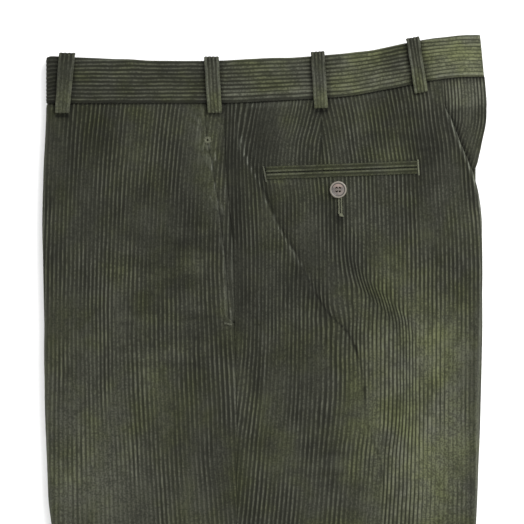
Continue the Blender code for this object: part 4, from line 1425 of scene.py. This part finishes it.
def band_finish_and_shade(x, height):
    """Painted light towards the centre back, painted shade at the seam and beside the loops, and darker
    under the top edge.
    """
    # Painted light: lighter towards the centre back, where the band tilts towards the lamp.
    tone = 0.97 + soft_boxes(BAND_TONE_AND_LIGHT, {"across": x}, height)
    tone = tone - 0.20 * bell(height - BAND - 1, 7.0) * ease((x - 130) / 30)
    tone = tone + 0.5 * bell(height - 8.6, 1.5) * between(x, -40, 70, 30)
    tone = tone + 0.08 * noise(x, height, 30, 10, 44) + 0.07 * noise(x, height, 9, 6, 46)
    # Painted shadow along the waist seam.
    shade = 0.8 * ease(1 - height / 1.6)
    share = (height + LOOP_BELOW) / (BAND + LOOP_BELOW)
    for _, x_top, x_end, wide_top, wide_end, _ in LOOPS:
        off = np.abs(x - x_end - (x_top - x_end) * share)
        off = off - (wide_end * (1 - share) + wide_top * share) / 2
        left = ease((x_end - x) / 2) * (x_end > 100)
        # Painted shadow beside each loop, wider and heavier left of the back loop, and painted shade
        # around it.
        shade = shade + (0.6 + 0.4 * left) * bell(off - 0.3, 1.5 + (x_end > 100))
        tone = tone - (0.12 + 0.14 * left) * bell(off, 6.0)
    # Worn top fold with a painted highlight along it.
    wear = 0.3 * bell(height - BAND + 0.9, 1.0) * (0.6 + 0.4 * noise(x, 0, 30, 1, 48))
    wear = wear + 0.3 * bell(height - 2.6, 1.0) * ease((x - 146) / 10)
    olive = 0.35 + 0.4 * noise(x, height, 24, 12, 47) + 0.4 * ease((x - 20) / 100)
    return tone, wear, np.minimum(shade, 1), olive


def make_right_band(material):
    """The lower waistband, flat on the surface and turned in at both of its ends."""
    height, depth, u, face = band_section(False)
    radius = LEG / 2
    back, front = RIGHT_BAND_BACK - radius, RIGHT_BAND_FRONT + radius
    stations = [(back - BAND_BACK_LIP, 1, 180)]
    stations += [(back, 1, 180 - a) for a in range(0, 180, 20)]
    stations += [(x, 1, 0) for x in band_stations(back, front, 5.0)]
    stations += [(front, -1, a) for a in range(20, 181, 20)]
    stations += [(RIGHT_BAND_FRONT + inside, -1, 180) for inside in np.linspace(15, BAND_TUCK, 6)]
    sections = []
    for x, side, degrees in stations:
        angle = math.radians(degrees)
        seam_x = min(max(x, front), back)
        if degrees == 180:
            seam_x = back if side > 0 else front
        sunk = depth + 0.45 * furrow(u) * face
        upright = x + side * radius * math.sin(angle)
        at_x, at_height, _ = band_shape(upright, height)
        across = at_x - side * sunk * math.sin(angle)
        down = float(waist_seam(seam_x)) - at_height
        points = place(across, down, radius - (radius - sunk) * math.cos(angle))
        wales = in_rows(u, (x + side * degrees / 20) / WALE, 0.5)
        sections.append((points, wales, in_rows(0.9 + 0 * u, 0.0, 0.0)))
    return swept("right_band_cloth", material, sections)


# ---- belt loops, jets and sewing ----


def loop_path(x_top, x_end, width):
    """The line of a belt loop's face over the waistband, as x, down and z, from its hidden top."""
    seam = float(waist_seam(x_end))
    band_top = float(band_shape(x_top, BAND)[1])
    edge = float(waist_seam(x_top)) - band_top
    sides = (-width / 2, 0.0, width / 2)
    band_z = max(
        float(smooth(WAIST, "band_z", x + side)) for x in (x_top, x_end) for side in sides
    )
    end = seam + LOOP_BELOW
    panel_z = max(float(top(x_end + side, end + up)) for side in sides for up in (-5, 0))
    over = GAP + LOOP_WALL
    poke = over + LOOP_POKE
    knots = [(edge - poke, band_z - LOOP_HOOK), (edge - poke, band_z - 0.4)]
    knots += [(edge - poke * 0.9, band_z + over * 0.45), (edge - poke * 0.55, band_z + over * 0.85)]
    knots += [(edge - 0.2, band_z + over)]
    for share in np.linspace(0.1, 0.9, 9):
        down = edge + LOOP_BEND + (band_top - 2 * LOOP_BEND) * share
        knots.append((down, band_z + over + LOOP_ARCH * math.sin(math.pi * share)))
    knots += [(seam - 0.5, band_z + over), (seam + LOOP_BEND, (band_z + panel_z) / 2 + over)]
    knots += [(end - 3.0, panel_z + over + 0.15), (end - 1.0, panel_z + over)]
    knots += [(end - 0.1, panel_z + over - 0.6), (end, panel_z + over - 1.5)]
    knots = np.array(knots)
    length = np.concatenate([[0], np.cumsum(np.linalg.norm(np.diff(knots, axis=0), axis=1))])
    at = np.unique(np.concatenate([np.linspace(0, length[-1], LOOP_STEPS), length]))
    down, z = np.interp(at, length, knots[:, 0]), np.interp(at, length, knots[:, 1])
    lean = (x_end - x_top) / (end - edge)
    return np.stack([x_top + lean * (down - edge), down, z, at / length[-1], at], axis=1)


def make_loop(name, x_top, x_end, wide_top, wide_end, worn, material, seed):
    """A strip of corduroy with its long edges folded under, with painted shade at its ends and beneath.
    """
    path = loop_path(x_top, x_end, wide_end)
    ahead = np.gradient(path[:, 1:3], axis=0)
    ahead /= np.linalg.norm(ahead, axis=1)[:, None]
    slope = float(waist_seam(x_top + 6) - waist_seam(x_top - 6)) / 12
    turn = LOOP_WALL / 2
    face = np.linspace(-1, 1, COLUMNS * LOOP_WALES - 1)
    arc = np.radians(np.arange(15, 180, 30))
    side = [*face, *(1 + 0 * arc), 1, -1, *(-1 + 0 * arc)]
    out = [*(0 * face), *np.sin(arc), 0, 0, *-np.sin(arc[::-1])]
    under = [*(0 * face), *(turn - turn * np.cos(arc)), LOOP_WALL]
    under += [LOOP_WALL, *(turn - turn * np.cos(arc[::-1]))]
    side, out, under = np.array(side), np.array(out), np.array(under)
    u = side * (LOOP_WALES / 2 - 0.35) + 0.5
    sections = []
    for (x, down, z, share, at), (ahead_down, ahead_z) in zip(path, ahead):
        half = (wide_top * (1 - share) + wide_end * share) / 2
        across = side * (half - turn) + out * turn
        ribbed = 0.55 * (1 - worn * ease((share - 0.1) / 0.25))
        sunk = under + ribbed * furrow(u) * (under < turn) - 0.18 * noise(across, at, 4, 8, seed)
        along = down + ahead_z * sunk
        spread = across + 0.22 * noise(side * 9, at, 9, 10, seed + 1)
        points = place(x + spread, along + slope * across, z - ahead_down * sunk)
        crest = u + 0.12 * noise(side * 3, at, 1, 9, seed + 2)
        olive = 0.3 + 0.6 * ease((share - 0.45) / 0.4)
        tone = 0.97 - 0.18 * (worn > 0.7) + 0.26 * ease((share - 0.35) / 0.4)
        tone = tone + 0.1 * noise(side * 5, at, 4, 9, seed + 3)
        # Worn edges with a painted highlight along them, stronger on the left side of the least worn
        # loop.
        edges = bell(np.abs(side) - 0.86, 0.13) * (0.5 + 0.5 * noise(side, at, 1, 14, seed + 4))
        matted = worn * ease((share - 0.1) / 0.3) * (0.5 + 0.3 * noise(across, at, 1.2, 7, seed + 5))
        wear = 0.42 * edges * (1 + 0.9 * (side < 0) * (worn < 0.4)) + 0.42 * matted
        # Painted shade at the loop's sewn-down end, at its top bend and on its underside.
        shade = 0.5 * bell(share - 1, 0.015) + 0.35 * bell(share - 0.085, 0.02) + 0.7 * (under > turn)
        felt = np.clip(0.15 + 1.1 * worn * ease((share - 0.08) / 0.3) + 0 * u, 0, 1)
        sections.append((points, in_rows(crest, at / WALE, olive), in_rows(tone, wear, shade), felt))
    return swept(name + "_cloth", material, sections)


def make_jets(material):
    """The two narrow welts of the back pocket: each a folded strip with its wales along it."""
    share = np.linspace(0.0, 1.0, 13)
    ends = [-1, 0]  # the two points of a section that lie on the cloth
    made = []
    for name, way in (("upper_jet", -1), ("lower_jet", 1)):
        sections = []
        for x in band_stations(POCKET["x"][0], POCKET["x"][-1], 2.2):
            slit = float(smooth(POCKET, "down", x)) + 0.12 * float(noise(x, 0, 18, 1, 51))
            downs = slit + way * (POCKET_SLIT / 2 + JET_HEIGHT * share)
            base = top(x, downs) + GAP
            u = (JET_HEIGHT * share - JET_FOLD) / WALE
            rise = JET_WALL * np.minimum(1, 0.25 + 4.2 * share) * np.minimum(1, 0.2 + 5 * (1 - share))
            rise = rise - 0.42 * furrow(u) * (share > 0.2) + 0.1 * noise(x, downs, 14, 4, 52)
            face = place(x + 0 * downs, downs, base + np.maximum(rise, 0.1))
            points = np.concatenate([face, place(np.array([x, x]), downs[ends], base[ends])])
            u = np.append(u, u[ends])
            tone = 1.0 + 0.1 * noise(x, 0, 20, 1, 53)
            wear = 0.25 * bell(u + 0.02, 0.22) * (0.5 + 0.7 * noise(x, 0, 12, 1, 54))
            # Painted shade in the slit, along each jet's outer edge and on its two points on the cloth.
            shade = np.append(0.75 * bell(share, 0.06) + 0.7 * bell(share - 1, 0.05), [1, 1])
            felt = 0.25 + 0.5 * ease((u - 0.3) / 0.4) + 0.2 * noise(x, 0, 16, 1, 55)
            sections.append((points, in_rows(u, x / WALE, 0.75), in_rows(tone, wear, shade), felt))
        made.append(swept(name + "_cloth", material, sections))
    return made


def tube(points, radius):
    """Points and faces of a thread that follows a line, with rounded ends."""
    points = np.asarray(points, float)
    ahead = np.gradient(points, axis=0)
    ahead /= np.linalg.norm(ahead, axis=1)[:, None] + 1e-9
    aside = np.cross(ahead, (0.0, 0.0, 1.0))
    aside /= np.linalg.norm(aside, axis=1)[:, None] + 1e-9
    above = np.cross(aside, ahead)
    angle = 2 * math.pi * np.arange(TUBE_SIDES) / TUBE_SIDES
    size = np.full(len(points), radius)
    size[[0, -1]] = radius * 0.45
    ring = (
        points[:, None]
        + size[:, None, None] * np.cos(angle)[None, :, None] * aside[:, None]
        + size[:, None, None] * np.sin(angle)[None, :, None] * above[:, None]
    )
    return ring.reshape(-1, 3), sweep(len(points), TUBE_SIDES)


def sewn(name, stitches, radius, material):
    """Many stitches as one piece. Each is a line of points in millimetres."""
    points, faces, count = [], [], 0
    for line in stitches:
        more, ring = tube(line, radius)
        points.append(more)
        faces += [[k + count for k in face] for face in ring]
        count += len(more)
    return piece(name, np.concatenate(points), faces, material)


def arched(start, end, lift, height):
    """A stitch over the cloth between two places, each an x and a down, lifted off it a little."""
    share = np.linspace(0, 1, 5)
    x, down, z = (
        first * (1 - share) + last * share
        for first, last in zip((*start, float(top(*start)) + lift), (*end, float(top(*end)) + lift))
    )
    return place(x, down, z + height * np.sin(math.pi * share))


def bar_tack(name, x_top, down_top, x_end, down_end, width, lift, material, seed):
    """A dense bar of stitches laid across the line from one place to the other."""
    length = math.hypot(x_end - x_top, down_end - down_top)
    count = max(5, round(length / 0.42))
    across = np.array([down_end - down_top, x_top - x_end]) / length
    rng = np.random.default_rng(seed)
    stitches = []
    for k in range(count + 1):
        share = k / count
        x = x_top + (x_end - x_top) * share
        down = down_top + (down_end - down_top) * share
        half = width / 2 * (1 + 0.18 * rng.uniform(-1, 1))
        slant = 0.25 * rng.uniform(-1, 1)
        a = (x - across[0] * half, down - across[1] * half + slant)
        b = (x + across[0] * half, down + across[1] * half - slant)
        stitches.append(arched(a, b, lift, 0.45))
    return sewn(name, stitches, 0.26, material)


def make_sewing(light, dull):
    """Bar tacks of both pockets, the knot at the side pocket's top and the buttonhole."""
    pieces = [
        bar_tack("pocket_tack_front", -0.6, 117.6, 1.9, 131.0, 1.5, 1.2, dull, 71),
        bar_tack("pocket_tack_back", 137.2, 111.6, 138.0, 125.2, 1.6, 1.0, light, 72),
        bar_tack("slant_tack_low", -35.2, 257.2, -28.8, 258.6, 2.2, 0.2, dull, 73),
    ]
    knot = []
    x, down = -50.4, 94.0
    for k in range(17):
        a = 2 * math.pi * k / 17
        out = 3.8 if k % 2 else 3.4
        ends = [(x + reach * math.cos(a), down + reach * math.sin(a)) for reach in (0.9, out)]
        knot.append(arched(*ends, 0.15, 0.5))
    pieces.append(sewn("slant_tack_high", knot, 0.3, light))
    stitches = []
    rng = np.random.default_rng(74)
    for side in (-1, 1):
        for down in np.arange(SLIT_TOP, SLIT_END, 0.62):
            near, far = 0.35 + 0.1 * rng.uniform(-1, 1), 1.9 + 0.3 * rng.uniform(-1, 1)
            tilt = 0.3 * rng.uniform(-1, 1)
            x = SLIT_X + 0.02 * (down - SLIT_TOP)
            stitches.append(arched((x + side * near, down), (x + side * far, down + tilt), 0.1, 0.55))
    for k in range(6):
        down = SLIT_END - 0.6 + 0.45 * k
        start, end = (SLIT_X - 1.3 + 0.1 * k, down), (SLIT_X + 2.4 + 0.28 * k, down + 0.5)
        stitches.append(arched(start, end, 0.2, 0.6))
    pieces.append(sewn("buttonhole_stitches", stitches, 0.27, light))
    return pieces


# ---- the button ----


def make_button(material, thread_material):
    """A four-hole button, turned with a round rim and a shallow dish, sewn through its holes."""
    low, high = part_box("back_pocket_button")
    middle = (low + high) / 2
    edge = [(6.2, 0.0), (7.1, 0.3), (7.6, 1.1), (7.6, 1.9), (7.4, 2.5), (7.0, 2.88), (6.5, 3.0)]
    dish = [(6.05, 2.85), (5.7, 2.45), (5.35, 2.15), (5.0, 2.12), (4.4, 2.25), (3.0, 2.28), (1.4, 2.22)]
    around = 64
    angle = 2 * math.pi * np.arange(around) / around
    rings = [in_rows(r * np.cos(angle), r * np.sin(angle), z) for r, z in edge + dish]
    faces = sweep(len(rings), around)
    button = piece("back_pocket_button_looks", np.concatenate(rings), faces, material)
    button.location = (middle.x, middle.y, low.z)
    for k in range(4):
        a = math.pi / 4 + k * math.pi / 2
        hole = np.array([math.cos(a), math.sin(a)]) * BUTTON_HOLES_OUT
        bpy.ops.mesh.primitive_cylinder_add(
            vertices=24,
            radius=BUTTON_HOLE * MM,
            depth=8 * MM,
            location=(middle.x + hole[0] * MM, middle.y + hole[1] * MM, low.z),
        )
        cutter = bpy.context.object
        cut_hole = button.modifiers.new("hole", "BOOLEAN")
        cut_hole.object = cutter
        bpy.context.view_layer.objects.active = button
        bpy.ops.object.modifier_apply(modifier="hole")
        bpy.data.objects.remove(cutter)
    button.data.shade_smooth()
    button.data.set_sharp_from_angle(angle=math.radians(40))
    stitches = []
    centre_x, centre_down = middle.x / MM, LENGTH / 2 - middle.y / MM
    out = BUTTON_HOLES_OUT * math.sqrt(0.5)
    base = low.z / MM
    for side in (-1, 1):
        for shift in (-0.22, 0.22):
            x = centre_x + side * out + shift
            share = np.linspace(-1, 1, 9)
            z = base + np.where(np.abs(share) > 0.8, 0.8, 2.32 + 0.1 * (1 - share * share))
            stitches.append(place(x + 0 * share, centre_down + out * share, z))
    sewing = sewn("button_thread", stitches, 0.2, thread_material)
    return button, sewing


# ---- the stage ----


def area_light(name, location, target, size, power):
    data = bpy.data.lights.new(name, "AREA")
    data.shape = "DISK"
    data.size, data.energy = size, power
    light = bpy.data.objects.new(name, data)
    bpy.context.scene.collection.objects.link(light)
    light.location = location
    aim = bpy.data.objects.new(name + "_aim", None)
    aim.location = target
    bpy.context.scene.collection.objects.link(aim)
    bpy.context.view_layer.update()
    direction = aim.location - light.location
    light.rotation_euler = direction.to_track_quat("-Z", "Y").to_euler()
    bpy.data.objects.remove(aim)


def make_stage():
    bpy.ops.mesh.primitive_plane_add(size=12, location=(0, 0, 0))
    floor = bpy.context.object
    floor.name = "floor"
    paper = Shader("white_paper")
    grain = paper.noise(paper.here(), 300.0, 2.0, 0.5)
    shade = paper.mix(grain, (0.90, 0.90, 0.90, 1), (0.94, 0.94, 0.94, 1))
    floor.data.materials.append(paper.finish(shade, Roughness=0.9, Specular_IOR_Level=0.1))
    world = bpy.data.worlds.new("soft_room")
    world.use_nodes = True
    world.node_tree.nodes["Background"].inputs["Color"].default_value = (1.0, 1.0, 1.0, 1)
    world.node_tree.nodes["Background"].inputs["Strength"].default_value = 1.35
    bpy.context.scene.world = world
    area_light("key", (1.7, 1.9, 2.1), (0.0, 0.25, 0.0), 2.6, 110.0)
    bpy.context.scene.view_settings.view_transform = "Standard"


def make_camera():
    data = bpy.data.cameras.new("camera")
    data.lens, data.sensor_width = LENS, SENSOR
    data.clip_start, data.clip_end = 0.05, 50.0
    camera = bpy.data.objects.new("camera", data)
    bpy.context.scene.collection.objects.link(camera)
    height = VIEW_ACROSS * LENS / SENSOR + VIEW_Z
    camera.location = (CENTRE_X * MM, (LENGTH / 2 - CENTRE_DOWN) * MM, height * MM)
    camera.rotation_euler = (0.0, 0.0, 0.0)
    bpy.context.scene.camera = camera


def stand_for(thing, node):
    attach(thing, "root")
    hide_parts(node)


def main():
    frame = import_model()
    make_camera()
    make_stage()

    # Colours of the pile: the furrows' painted shade, dark and light pile, and worn pile, which also
    # paints highlights.
    shades = (
        (0.0098, 0.0102, 0.0072, 1),
        (0.0205, 0.0213, 0.0161, 1),
        (0.0580, 0.0600, 0.0445, 1),
        (0.1300, 0.1360, 0.1100, 1),
    )
    cord = corduroy("corduroy", (-0.1, 0.9), *shades)
    trim = corduroy("trim_corduroy", (-0.35, 0.8), *shades)
    light = thread("light_thread", (0.115, 0.120, 0.078, 1), (0.045, 0.048, 0.030, 1))
    dull = thread("dull_thread", (0.060, 0.063, 0.042, 1), (0.028, 0.030, 0.020, 1))
    horn = thread("button_thread_look", (0.16, 0.13, 0.11, 1), (0.08, 0.065, 0.055, 1))
    hidden = frame["nodes"]["inner_layers"].data.materials
    hidden.clear()
    hidden.append(hidden_cloth())

    jets = make_jets(trim)
    for jet, node in zip(jets, ("upper_jet", "lower_jet")):
        stand_for(jet, node)
    sewing = make_sewing(light, dull)
    button, button_sewing = make_button(button_plastic(), horn)
    stand_for(button, "back_pocket_button")
    for stitches in (*sewing, button_sewing):
        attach(stitches, "root")
    loops = []
    for k, row in enumerate(LOOPS):
        loop = make_loop(*row, trim, 80 + 6 * k)
        stand_for(loop, row[0])
        loops.append(loop)

    on_back = [*jets, button, button_sewing, *sewing]
    panels = (
        ("left_front", make_left_front(cord), []),
        ("left_back", make_left_back(cord), on_back),
        ("left_pocket_facing", make_facing(cord), []),
        ("left_seat", make_seat(cord), []),
        ("right_front", make_right_panel("right_front_cloth", cord, -1), []),
        ("right_back", make_right_panel("right_back_cloth", cord, 1), []),
    )
    for node, (thing, flat, area), with_pieces in panels:
        stand_for(thing, node)
    bands = (
        (make_left_band(trim), "left_waistband", loops),
        (make_right_band(trim), "right_waistband", []),
    )
    for band, node, with_pieces in bands:
        stand_for(band, node)


main()
